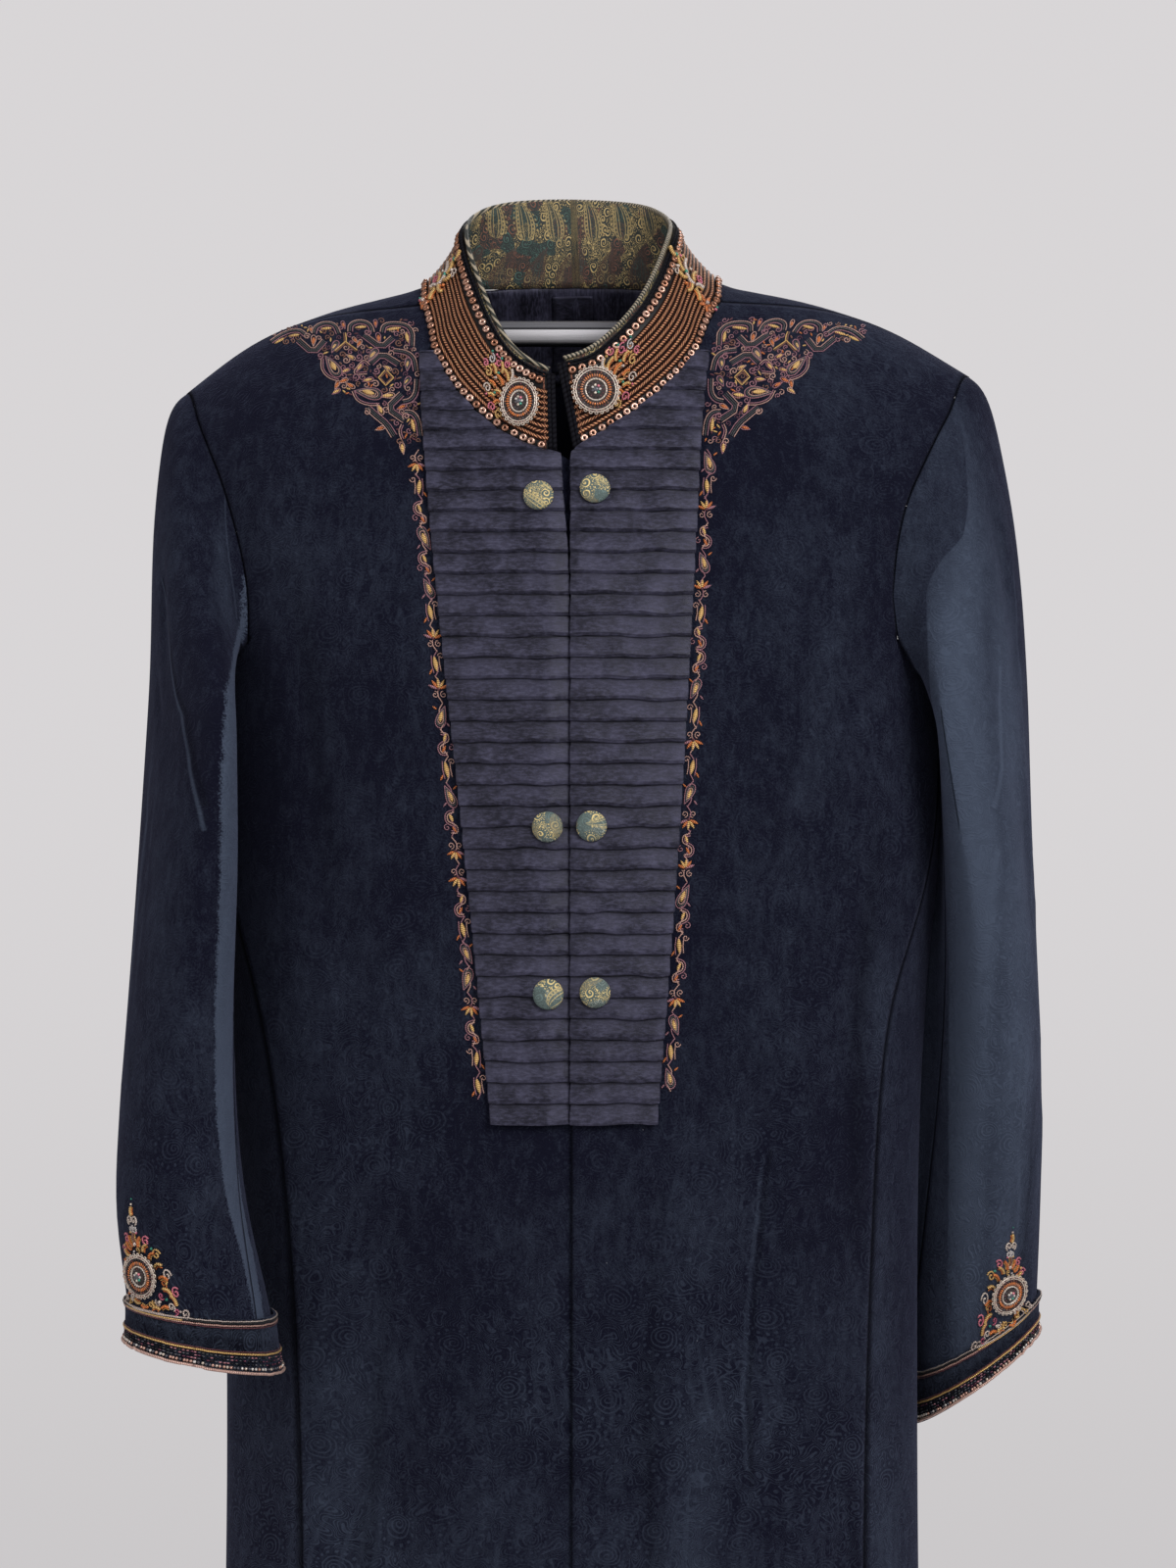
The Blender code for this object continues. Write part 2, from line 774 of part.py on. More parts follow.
def back_site(x, turn):
    """Place on the upper back."""
    if turn < -math.pi / 2:
        z = ridge_height(x) - RIDGE_ROUND * (1.0 + abs(turn) - math.pi / 2)
        return body_site(x, z, to_back=True)
    return ridge_site(x, turn)


def back_rows():
    """Rows of the whole back, from the left side seam to the right one."""
    left = back_half(1)
    right = back_half(-1)
    return [near + far[-2::-1] for near, far in zip(left, right)]


# ---------------------------------------------------------------- sleeves

def armhole_loop(side):
    """Places round the armhole: tip, front, under the arm, back and up to the tip again."""
    front = [row[-1] for row in front_rows(side)[len(SKIRT_ROWS) + len(BIB_BODY_TUCKS) - 1:]]
    under = side_rows(side)[-1]
    half = back_half(side)
    back = [row[0] for row in half[len(side_heights()):]]
    return front[::-1] + under[1:-1] + back[:-1]


def ring_of(table, step):
    """Values of a sleeve ring at a step from its first row (0) to its last (1)."""
    key = step * (len(table) - 1)
    rows = [(index,) + row for index, row in enumerate(table)]
    return [read(rows, key, column) for column in range(1, len(table[0]) + 1)]


def sleeve_point(side, step, angle):
    """Point of the sleeve's tube at a step down it and an angle round it (0 out, 90 front)."""
    table = SLEEVE_LEFT if side > 0 else SLEEVE_RIGHT
    z, across, deep, half_side, half_front, turn, flat_front, flat_back, rise = ring_of(table, step)
    c = math.cos(math.radians(angle))
    s = math.sin(math.radians(angle))
    out = half_side * c * (1.0 if c > 0 else 1.0 - mix(flat_back, flat_front, 0.5 + 0.5 * s))
    forward = half_front * s
    turn = math.radians(turn)
    x = across + math.cos(turn) * out - math.sin(turn) * forward
    y = deep - math.sin(turn) * out - math.cos(turn) * forward
    return Vector((side * x, y, z + rise * (x - across))) * MM


def cap_point(side, start, step, angle):
    """Point of the sleeve's cap between its armhole point and the tube's first ring."""
    end = sleeve_point(side, 0.0, angle)
    outwards, forwards, upwards = [read(CAP_START, angle, column) for column in (1, 2, 3)]
    length = (end - start).length
    leave = Vector((side * outwards, -forwards, upwards)).normalized() * length * CAP_START_PULL
    arrive = (sleeve_point(side, 0.04, angle) - end).normalized() * length * CAP_END_PULL
    t = step
    point = ((2 * t**3 - 3 * t**2 + 1) * start + (t**3 - 2 * t**2 + t) * leave
             + (3 * t**2 - 2 * t**3) * end + (t**3 - t**2) * arrive)
    puff = CAP_PUFF * ease(110, 30, min(angle, 360 - angle)) * math.exp(-((t - 0.09) / 0.08) ** 2)
    return point + Vector((side * 0.8, 0.0, 0.6)) * puff * (1.0 if t > 0 else 0.0)


def loop_angles(loop):
    """Angle round the sleeve of each armhole point, by its distance along the armhole."""
    count = len(loop)
    lengths = [(loop[(i + 1) % count].point - loop[i].point).length for i in range(count)]
    total = sum(lengths)
    angles, run = [], 0.0
    for length in lengths:
        angles.append(360.0 * run / total)
        run += length
    return angles


def cuff_step(side):
    """Step down the sleeve at which its cuff band starts."""
    table = SLEEVE_LEFT if side > 0 else SLEEVE_RIGHT
    low, high = table[-1][0], table[-2][0]
    return 1.0 - CUFF_DEPTH / MM / (high - low) / (len(table) - 1)


def sleeve_grid(side):
    """Point grid of a whole sleeve, armhole first, one column for each armhole point."""
    loop = armhole_loop(side)
    angles = loop_angles(loop)
    rows = []
    starts = [place.point + place.normal * SEAM_GAP for place in loop]
    for step in CAP_STEPS:
        rows.append([cap_point(side, start, step, angle) for start, angle in zip(starts, angles)])
    last = cuff_step(side)
    for step in SLEEVE_STEPS:
        rows.append([sleeve_point(side, step * last, angle) for angle in angles])
    rows.append([sleeve_point(side, 1.0, angle) for angle in angles])
    return rows, angles


def grid_sites(points, axis_points):
    """Places of a closed grid, with normals that face away from the middle of each row."""
    rows, columns = len(points), len(points[0])
    sites = []
    for r, row in enumerate(points):
        middle = axis_points[r]
        line = []
        for c in range(columns):
            around = row[(c + 1) % columns] - row[c - 1]
            along = points[min(r + 1, rows - 1)][c] - points[max(r - 1, 0)][c]
            normal = around.cross(along).normalized()
            if normal.dot(row[c] - middle) < 0:
                normal = -normal
            line.append(Site(row[c], normal))
        sites.append(line)
    return sites


def sleeve_sites(side):
    """Places of a whole sleeve and the angle of each column.

    The first row's normals are turned so that its rim keeps off the body's wall at the armhole.
    """
    points, angles = sleeve_grid(side)
    middles = [sum(row, Vector()) / len(row) for row in points]
    sites = grid_sites(points, middles)
    loop = armhole_loop(side)
    for i, place in enumerate(sites[0]):
        along = loop[(i + 1) % len(loop)].point - loop[i - 1].point
        away = loop[i].normal.cross(along).normalized() * side
        inwards = -place.normal
        inwards -= away * min(inwards.dot(away), 0.0)
        place.normal = -inwards.normalized()
    return sites, angles


def sleeve_split(angles):
    """First and last column of the under sleeve."""
    start, end = UNDER_SLEEVE_ANGLES
    first = min(range(len(angles)), key=lambda i: abs(angles[i] - start))
    last = min(range(len(angles)), key=lambda i: abs(angles[i] - end))
    return first, last


def build_sleeve(side, word, velvet, band_cloth):
    """Top sleeve, under sleeve and cuff band of one side."""
    sites, angles = sleeve_sites(side)
    first, last = sleeve_split(angles)
    count = len(angles)
    under = [[row[c] for c in range(first, last + 1)] for row in sites]
    top = [[row[c % count] for c in range(last, count + first + 1)] for row in sites]
    cloth("sleeve_top_" + word, top, VELVET, velvet)
    cloth("sleeve_under_" + word, under, VELVET, velvet)
    build_cuff(word, sites[-2], sites[-1], band_cloth)


# Cuff band profile: place down the band, height above its plain cloth
CUFF_PROFILE = (
    (0.00, 0.0),
    (0.05, 0.0010),
    (0.11, 0.0),
    (0.56, 0.0),
    (0.62, 0.0010),
    (0.69, 0.0),
    (0.90, 0.0003),
    (0.96, 0.0014),
    (1.00, 0.0006),
)


def build_cuff(word, upper, lower, material):
    """Band round the end of a sleeve, with two cord lines and a rolled edge raised on its outside."""
    profile = [(mix(0.02, 1.0, place), height) for place, height in CUFF_PROFILE]
    outer = []
    for place, height in profile:
        row = [a.between(b, place) for a, b in zip(upper, lower)]
        outer.append([spot.out(LAY_GAP + BAND_CLOTH + height) for spot in row])
    ends = (profile[0][0], profile[-1][0])
    inner = [[a.between(b, place).out(LAY_GAP) for a, b in zip(upper, lower)] for place in ends]
    closed_wall("cuff_band_" + word, outer, inner, material, kept=[0, len(outer) - 1], ring=True)


# ---------------------------------------------------------------- bib

def bib_places(side):
    """Places of the front panel that the bib covers, by row height from its bottom to its top."""
    rows = front_rows(side)
    first = len(SKIRT_ROWS) - 1
    heights = [BIB_BOTTOM]
    heights += [tuck_height(count) for count in BIB_BODY_TUCKS + BIB_YOKE_TUCKS]
    heights += [NECK_CORNER, NECK_TURN]
    heights += [tuck_height(count) for count in NECK_TUCKS[:-1]]
    if side > 0:
        return heights, [row[0:4] for row in rows[first:first + len(heights)]]
    covered = []
    for z, row in zip(heights, rows[first:first + len(heights)]):
        row = row[1:5]
        edge = -STEP_START - placket_gap(z)
        if edge < row[0].point.x:
            row[0] = row[0].between(row[1], (row[0].point.x - edge) / (row[0].point.x - row[1].point.x))
        covered.append(row)
    return heights, covered


def bib_row(heights, rows, z):
    """Places of the covered panel at a height, on its facets."""
    i = max(k for k in range(len(heights) - 1) if heights[k] <= z + 1e-9)
    t = (z - heights[i]) / (heights[i + 1] - heights[i])
    return [a.between(b, min(t, 1.0)) for a, b in zip(rows[i], rows[i + 1])]


def build_bib(side, word, satin):
    """One half of the bib: tucks that overlap downwards, raised on the outside of a plain wall."""
    heights, rows = bib_places(side)
    last = round((heights[-1] - BIB_BOTTOM) / TUCK_PITCH)
    profile = [(BIB_BOTTOM, TUCK_HEIGHT, True)]
    for count in range(1, last + 1):
        profile.append((tuck_height(count), 0.0, True))
        profile.append((tuck_height(count) + TUCK_LEDGE, TUCK_HEIGHT, False))
    profile.pop()
    for z in (NECK_CORNER, NECK_TURN):
        fallen = ((z - BIB_BOTTOM) % TUCK_PITCH - TUCK_LEDGE) / (TUCK_PITCH - TUCK_LEDGE)
        profile.append((z, TUCK_HEIGHT * (1.0 - fallen), True))
    profile.sort()
    outer = []
    for z, height, _ in profile:
        outer.append([place.out(LAY_GAP + SATIN + height) for place in bib_row(heights, rows, z)])
    inner = [[place.out(LAY_GAP) for place in bib_row(heights, rows, z)] for z, _, on in profile if on]
    kept = [i for i, row in enumerate(profile) if row[2]]
    closed_wall("bib_" + word, outer, inner, satin, kept=kept)


# ---------------------------------------------------------------- collar

def collar_base():
    """Points of the neck edge that the collar stands on, from its right end round to its left end."""
    right = [row[0] for row in front_rows(-1)[neck_first_row():]]
    left = [row[0] for row in front_rows(1)[neck_first_row():]]
    corner, turn = right[0], right[1]
    part = (corner.point.x - COLLAR_END_RIGHT) / (corner.point.x - turn.point.x)
    right[0] = corner.between(turn, part)
    back = back_rows()[-1]
    shoulder = len(OUTER_PARTS)
    around = back[shoulder + 1:len(back) - shoulder - 1]
    return right + around[::-1] + left[::-1][:-1]


def neck_first_row():
    """Row of the front panel at the bottom of the neck."""
    return len(SKIRT_ROWS) + len(BIB_BODY_TUCKS) + len(BIB_YOKE_TUCKS)


def collar_angle(point):
    """Angle from the front of a neck point, seen from above."""
    x = (point.x - COLLAR_BASE_CENTRE[0]) / COLLAR_BASE_HALF
    y = point.y - COLLAR_BASE_CENTRE[1]
    y /= COLLAR_BASE_FRONT if y < 0 else COLLAR_BASE_BACK
    return math.degrees(math.atan2(x, -y))


def collar_top(angle):
    """Point of the collar's top edge at an angle from the front."""
    side = 1 if angle > 0 else -1
    lean = -5.5 * ease(40, 0, abs(angle)) if side > 0 else -2.0 * ease(30, 8, abs(angle))
    turned = angle + lean
    s = math.sin(math.radians(turned))
    c = math.cos(math.radians(turned))
    depth = COLLAR_TOP_FRONT if c > 0 else COLLAR_TOP_BACK
    z = read(COLLAR_TOP, abs(turned) if turned * side > 0 else -abs(turned), side_column(side)) * MM
    return Vector((COLLAR_TOP_CENTRE[0] + COLLAR_TOP_HALF * math.copysign(abs(s) ** 0.94, s),
                   COLLAR_TOP_CENTRE[1] - depth * math.copysign(abs(c) ** 0.94, c), z))


def collar_levels():
    """Heights up the collar and how far its braid stands out there."""
    pitch = (BRAID_END - BRAID_START) / BRAID_ROWS
    levels = [(0.0, 0.0), (BRAID_START, 0.0)]
    for index in range(BRAID_ROWS):
        levels.append((BRAID_START + (index + 0.5) * pitch, BRAID_HEIGHT))
        levels.append((BRAID_START + (index + 1) * pitch, 0.0))
    levels.append((1.0, 0.0))
    return levels


def collar_places():
    """Places of the collar's plain outer side, by row from its base to its top edge."""
    base = [place.point for place in collar_base()]
    top = [collar_top(collar_angle(point)) for point in base]
    up = [(t - b).normalized() for b, t in zip(base, top)]
    base = [b + u * SEAM_GAP for b, u in zip(base, up)]
    count = len(base)
    rows = []
    for height, _ in collar_levels():
        line = []
        for i in range(count):
            low, high = max(i - 1, 0), min(i + 1, count - 1)
            around = mix(base[high] - base[low], top[high] - top[low], height)
            normal = around.cross(up[i]).normalized()
            if normal.dot(Vector((base[i].x, base[i].y + 0.015, 0.0))) < 0:
                normal = -normal
            hollow = ease(35, 85, abs(collar_angle(base[i])))
            swell = mix(COLLAR_BULGE, -COLLAR_HOLLOW, hollow) * 4.0 * height * (1.0 - height)
            line.append(Site(mix(base[i], top[i], height) + normal * swell, normal))
        rows.append(line)
    return rows


def build_collar(braid_cloth, brocade, piping_cloth):
    """Braided stand collar, its lining and the piping along its top edge."""
    places = collar_places()
    levels = collar_levels()
    kept = [0, 7, 13, len(levels) - 1]
    outer = [[place.out(level[1]) for place in row] for row, level in zip(places, levels)]
    inner = [[place.out(-VELVET) for place in places[k]] for k in kept]
    closed_wall("collar", outer, inner, braid_cloth, kept=kept)
    lining_out = [[place.out(-VELVET - LAY_GAP) for place in places[k]] for k in kept]
    lining_in = [[place.out(-VELVET - LAY_GAP - BROCADE) for place in places[k]] for k in kept]
    closed_wall("collar_lining", lining_out, lining_in, brocade)
    crest = []
    edge = places[-1]
    for i, high in enumerate(edge):
        up = high.point - places[-2][i].point
        along = (edge[min(i + 1, len(edge) - 1)].point - edge[max(i - 1, 0)].point).normalized()
        up = (up - along * up.dot(along)).normalized()
        crest.append(high.out(-(VELVET + BROCADE) / 2) + up * (PIPING_RADIUS + 2 * SEAM_GAP))
    tube("collar_piping", crest, [PIPING_RADIUS] * len(crest), piping_cloth, 1)


def tube(name, points, radii, material, resolution):
    """Round tube along points, with filled ends, as a mesh object."""
    curve = bpy.data.curves.new(name + "_path", "CURVE")
    curve.dimensions = "3D"
    curve.bevel_depth = 1.0
    curve.bevel_resolution = resolution
    curve.use_fill_caps = True
    spline = curve.splines.new("POLY")
    spline.points.add(len(points) - 1)
    for target, point, radius in zip(spline.points, points, radii):
        target.co = (*point, 1.0)
        target.radius = radius
    path = bpy.data.objects.new(name + "_path", curve)
    bpy.data.collections[COLLECTION].objects.link(path)
    graph = bpy.context.evaluated_depsgraph_get()
    mesh = bpy.data.meshes.new_from_object(path.evaluated_get(graph))
    bpy.data.objects.remove(path)
    bpy.data.curves.remove(curve)
    body = bmesh.new()
    body.from_mesh(mesh)
    bmesh.ops.remove_doubles(body, verts=body.verts, dist=0.00005)
    body.to_mesh(mesh)
    body.free()
    mesh.name = name
    mesh.materials.clear()
    face_outwards(mesh)
    return new_object(name, mesh, material)


# ---------------------------------------------------------------- lining and label

def lining_columns():
    """Columns of the back between the two shoulder seams."""
    shoulder = len(OUTER_PARTS)
    return range(shoulder + 3, len(back_rows()[0]) - shoulder - 3)


def build_back_lining(satin, label_cloth):
    """Satin across the inside of the back below the neck, with a bare label on it."""
    columns = lining_columns()
    rows = back_rows()[-1 - LINING_DEPTH:]
    places = [[row[c] for c in columns] for row in rows]
    depth = VELVET + LAY_GAP
    outer = [[place.out(-depth) for place in row] for row in places]
    inner = [[place.out(-depth - SATIN) for place in row] for row in places]
    closed_wall("back_neck_lining", outer, inner, satin)
    build_label(places, depth + SATIN + LAY_GAP, label_cloth)


def build_label(places, depth, material):
    """Bare label on the lining, on the middle of the back."""
    middle = len(places[0]) // 2
    heights = [row[middle].point.z for row in places]
    rows = []
    levels = [LABEL_BOTTOM] + [z for z in heights if LABEL_BOTTOM < z < LABEL_TOP] + [LABEL_TOP]
    for z in levels:
        line = []
        i = max(k for k in range(len(heights) - 1) if heights[k] <= z + 1e-9)
        t = (z - heights[i]) / (heights[i + 1] - heights[i])
        centre = places[i][middle].between(places[i + 1][middle], t)
        for part in (-1.0, 0.0, 1.0):
            beside = middle + (1 if part > 0 else -1)
            other = places[i][beside].between(places[i + 1][beside], t)
            share = LABEL_HALF_WIDTH / abs(other.point.x - centre.point.x)
            line.append(centre.between(other, abs(part) * share))
        rows.append(line)
    outer = [[place.out(-depth) for place in row] for row in rows]
    inner = [[place.out(-depth - 0.0006) for place in row] for row in rows]
    closed_wall("neck_label", outer, inner, material)


# ---------------------------------------------------------------- buttons and medallions

BUTTON_PROFILE = ((0.0, 1.0), (0.42, 0.95), (0.78, 0.74), (0.97, 0.42), (1.0, 0.22), (0.90, 0.0), (0.0, 0.0))
MEDALLION_PROFILE = ((0.0, 1.0), (0.26, 0.86), (0.42, 0.55), (0.60, 0.80), (0.74, 0.50), (0.88, 0.72),
                     (1.0, 0.30), (0.97, 0.0), (0.0, 0.0))


def turned(name, profile, radius, thickness, place, material, steps=16, squeeze=(1.0, 1.0)):
    """Turned piece seated on a place, with its profile given as parts of its radius and thickness."""
    mesh = bpy.data.meshes.new(name)
    points = [(radius * r, 0.0, thickness * h) for r, h in profile]
    mesh.from_pydata(points, [(i, i + 1) for i in range(len(points) - 1)], [])
    piece = new_object(name, mesh, material)
    screw = piece.modifiers.new("turn", "SCREW")
    screw.steps = steps
    screw.render_steps = steps
    screw.use_merge_vertices = True
    screw.merge_threshold = 0.00002
    screw.use_normal_calculate = True
    graph = bpy.context.evaluated_depsgraph_get()
    solid = bpy.data.meshes.new_from_object(piece.evaluated_get(graph))
    bpy.data.objects.remove(piece)
    body = bmesh.new()
    body.from_mesh(solid)
    bmesh.ops.remove_doubles(body, verts=body.verts, dist=0.00002)
    bmesh.ops.recalc_face_normals(body, faces=body.faces)
    up = Vector((0.0, 0.0, 1.0))
    across = up.cross(place.normal)
    across = across.normalized() if across.length > 1e-6 else Vector((1.0, 0.0, 0.0))
    rise = place.normal.cross(across)
    for vertex in body.verts:
        local = vertex.co.copy()
        vertex.co = (place.point + across * local.x * squeeze[0] + rise * local.y * squeeze[1]
                     + place.normal * local.z)
    body.to_mesh(solid)
    body.free()
    solid.name = name
    solid.materials.clear()
    face_outwards(solid)
    return new_object(name, solid, material)


def build_buttons(cover):
    """Six covered dome buttons on the tucks' crests."""
    for name, x, z in BUTTONS:
        side = 1 if x > 0 else -1
        base = body_site(x, z)
        lift = LAY_GAP + SATIN + TUCK_HEIGHT + LAY_GAP - step_under(x, z, side)
        seat = Site(base.out(lift), base.normal)
        turned(name, BUTTON_PROFILE, BUTTON_RADIUS, BUTTON_THICKNESS, seat, cover, steps=14)


def collar_seat(x, height):
    """Place on the collar's braid in front, at x and a part of its height."""
    places = collar_places()
    levels = [level[0] for level in collar_levels()]
    row = min(range(len(levels)), key=lambda i: abs(levels[i] - height))
    line = [place for place in places[row] if place.point.y < -0.03]
    line.sort(key=lambda place: place.point.x)
    i = max(k for k in range(len(line) - 1) if line[k].point.x <= x)
    t = (x - line[i].point.x) / (line[i + 1].point.x - line[i].point.x)
    return line[i].between(line[i + 1], t)


def build_medallions(beads):
    """Beaded medallions on the collar's ends and on the outer side of each cuff."""
    for name, _, x, height, tall, wide in COLLAR_MEDALLIONS:
        seat = collar_seat(x, height)
        seat.point = seat.out(BRAID_HEIGHT + LAY_GAP + 0.0004)
        turned(name, MEDALLION_PROFILE, 1.0, MEDALLION_THICKNESS, seat, beads,
               squeeze=(wide, tall))
    for side, word in ((1, "left"), (-1, "right")):
        angle, lift = CUFF_MEDALLION[word]
        seat = sleeve_seat(side, angle, lift)
        turned("cuff_medallion_" + word, MEDALLION_PROFILE, MEDALLION_RADIUS, MEDALLION_THICKNESS, seat,
               beads)


# Cuff medallions: angle round the sleeve (0 out, 90 front), height of the centre above the band
CUFF_MEDALLION = {"left": (53.0, 0.0210), "right": (46.0, 0.0160)}


def sleeve_seat(side, angle, lift):
    """Place just off a sleeve's outside, above its cuff band."""
    table = SLEEVE_LEFT if side > 0 else SLEEVE_RIGHT
    span = (table[-2][0] - table[-1][0]) * MM * (len(table) - 1)
    step = cuff_step(side) - lift / span

    def surface(u, v):
        return sleeve_point(side, v, u)

    middle = sum((sleeve_point(side, step, a) for a in range(0, 360, 30)), Vector()) / 12
    seat = site(surface, angle, step, lambda point: point - middle)
    seat.point = seat.out(LAY_GAP + MEDALLION_SINK)
    return seat


MEDALLION_SINK = 0.0006


# ---------------------------------------------------------------- hanger

def build_hanger(chrome, arm_finish):
    """Straight chrome bar between two sloping arms that carry the shoulders."""
    mesh = bpy.data.meshes.new("hanger_bar")
    body = bmesh.new()
    bmesh.ops.create_cone(body, cap_ends=True, segments=24, radius1=BAR_RADIUS, radius2=BAR_RADIUS,
                          depth=2 * BAR_HALF_LENGTH)
    body.to_mesh(mesh)
    body.free()
    for face in mesh.polygons:
        face.use_smooth = True
    mesh.set_sharp_from_angle(angle=math.radians(40))
    bar = new_object("hanger_bar", mesh, chrome)
    bar.rotation_euler = (0.0, math.radians(90), 0.0)
    for side, word in ((1, "left"), (-1, "right")):
        points = [Vector((side * x * MM, 0.0, ARM_ROOT_HEIGHT)) for x, _ in ARM_ROOT]
        for x, radius in ARM:
            fall = ridge_height(side * (x - 5) * MM) - ridge_height(side * (x + 5) * MM)
            lean = math.hypot(fall, 10 * MM) / (10 * MM)
            z = ridge_height(side * x * MM) - (VELVET + ARM_REST_GAP + radius * MM) * lean
            points.append(Vector((side * x * MM, 0.0, z)))
        radii = [radius * MM for _, radius in ARM_ROOT + ARM]
        tube("hanger_arm_" + word, points, radii, arm_finish, 3)


# ---------------------------------------------------------------- materials and assembly

COLLECTION = "sherwani coat"

FINISHES = {
    "velvet": ((0.010, 0.014, 0.026), 0.85, 0.0),
    "satin": ((0.018, 0.020, 0.034), 0.38, 0.0),
    "braid": ((0.165, 0.060, 0.026), 0.55, 0.25),
    "brocade": ((0.075, 0.070, 0.040), 0.60, 0.0),
    "piping": ((0.16, 0.18, 0.14), 0.60, 0.0),
    "cuff_velvet": ((0.006, 0.008, 0.016), 0.80, 0.0),
    "button_cover": ((0.16, 0.15, 0.10), 0.55, 0.0),
    "beads": ((0.52, 0.33, 0.22), 0.35, 0.4),
    "label_cloth": ((0.008, 0.008, 0.012), 0.50, 0.0),
    "chrome": ((0.62, 0.62, 0.64), 0.12, 1.0),
    "arm_finish": ((0.020, 0.020, 0.022), 0.40, 0.0),
}


def make_material(name, colour, roughness, metallic):
    """Plain Principled material."""
    material = bpy.data.materials.new(name)
    material.use_nodes = True
    shader = material.node_tree.nodes["Principled BSDF"]
    shader.inputs["Base Color"].default_value = (*colour, 1.0)
    shader.inputs["Roughness"].default_value = roughness
    shader.inputs["Metallic"].default_value = metallic
    return material


def main():
    """Clear the scene and build every piece of the coat and its hanger."""
    for old in list(bpy.data.objects):
        bpy.data.objects.remove(old)
    collection = bpy.data.collections.new(COLLECTION)
    bpy.context.scene.collection.children.link(collection)
    finish = {name: make_material(name, *values) for name, values in FINISHES.items()}
    for side, word in ((1, "left"), (-1, "right")):
        cloth("front_" + word, front_rows(side), VELVET, finish["velvet"])
        cloth("side_panel_" + word, side_rows(side), VELVET, finish["velvet"])
        build_sleeve(side, word, finish["velvet"], finish["cuff_velvet"])
        build_bib(side, word, finish["satin"])
    cloth("back", back_rows(), VELVET, finish["velvet"])
    build_collar(finish["braid"], finish["brocade"], finish["piping"])
    build_back_lining(finish["satin"], finish["label_cloth"])
    build_buttons(finish["button_cover"])
    build_medallions(finish["beads"])
    build_hanger(finish["chrome"], finish["arm_finish"])


main()
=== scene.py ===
"""Sherwani coat on its hanger: velvet, satin, braid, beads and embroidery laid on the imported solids."""
import math
import random

import bmesh
import bpy
import numpy as np
from bpy.props import FloatProperty, FloatVectorProperty, IntProperty, PointerProperty
from mathutils import Matrix, Vector
from mathutils.bvhtree import BVHTree
from mathutils.kdtree import KDTree


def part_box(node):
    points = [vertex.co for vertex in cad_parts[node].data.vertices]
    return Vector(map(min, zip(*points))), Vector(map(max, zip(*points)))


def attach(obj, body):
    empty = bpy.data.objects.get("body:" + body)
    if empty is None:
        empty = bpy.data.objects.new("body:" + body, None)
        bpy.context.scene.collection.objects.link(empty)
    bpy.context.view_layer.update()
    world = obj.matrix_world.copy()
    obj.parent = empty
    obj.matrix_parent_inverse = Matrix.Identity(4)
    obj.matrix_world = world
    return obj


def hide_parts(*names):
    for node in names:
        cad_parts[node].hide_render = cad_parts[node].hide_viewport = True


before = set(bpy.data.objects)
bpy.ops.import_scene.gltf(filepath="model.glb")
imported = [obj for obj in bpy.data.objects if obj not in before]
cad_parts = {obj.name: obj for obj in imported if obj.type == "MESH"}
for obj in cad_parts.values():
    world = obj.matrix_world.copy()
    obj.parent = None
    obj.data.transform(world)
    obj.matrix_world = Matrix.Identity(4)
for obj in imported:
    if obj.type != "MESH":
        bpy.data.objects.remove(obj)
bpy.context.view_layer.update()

bl_info = {
    "name": "Sherwani coat",
    "version": (1, 0, 0),
    "blender": (4, 5, 0),
    "location": "View3D > Sidebar > Sherwani",
    "description": "Velvet, satin, braid, beads and embroidery for a sherwani coat on its hanger",
    "category": "Object",
}

MM = 0.001
BODY = "root"
SIDES = ((1, "left"), (-1, "right"))

# ---------------------------------------------------------------- tables of sizes, in millimetres

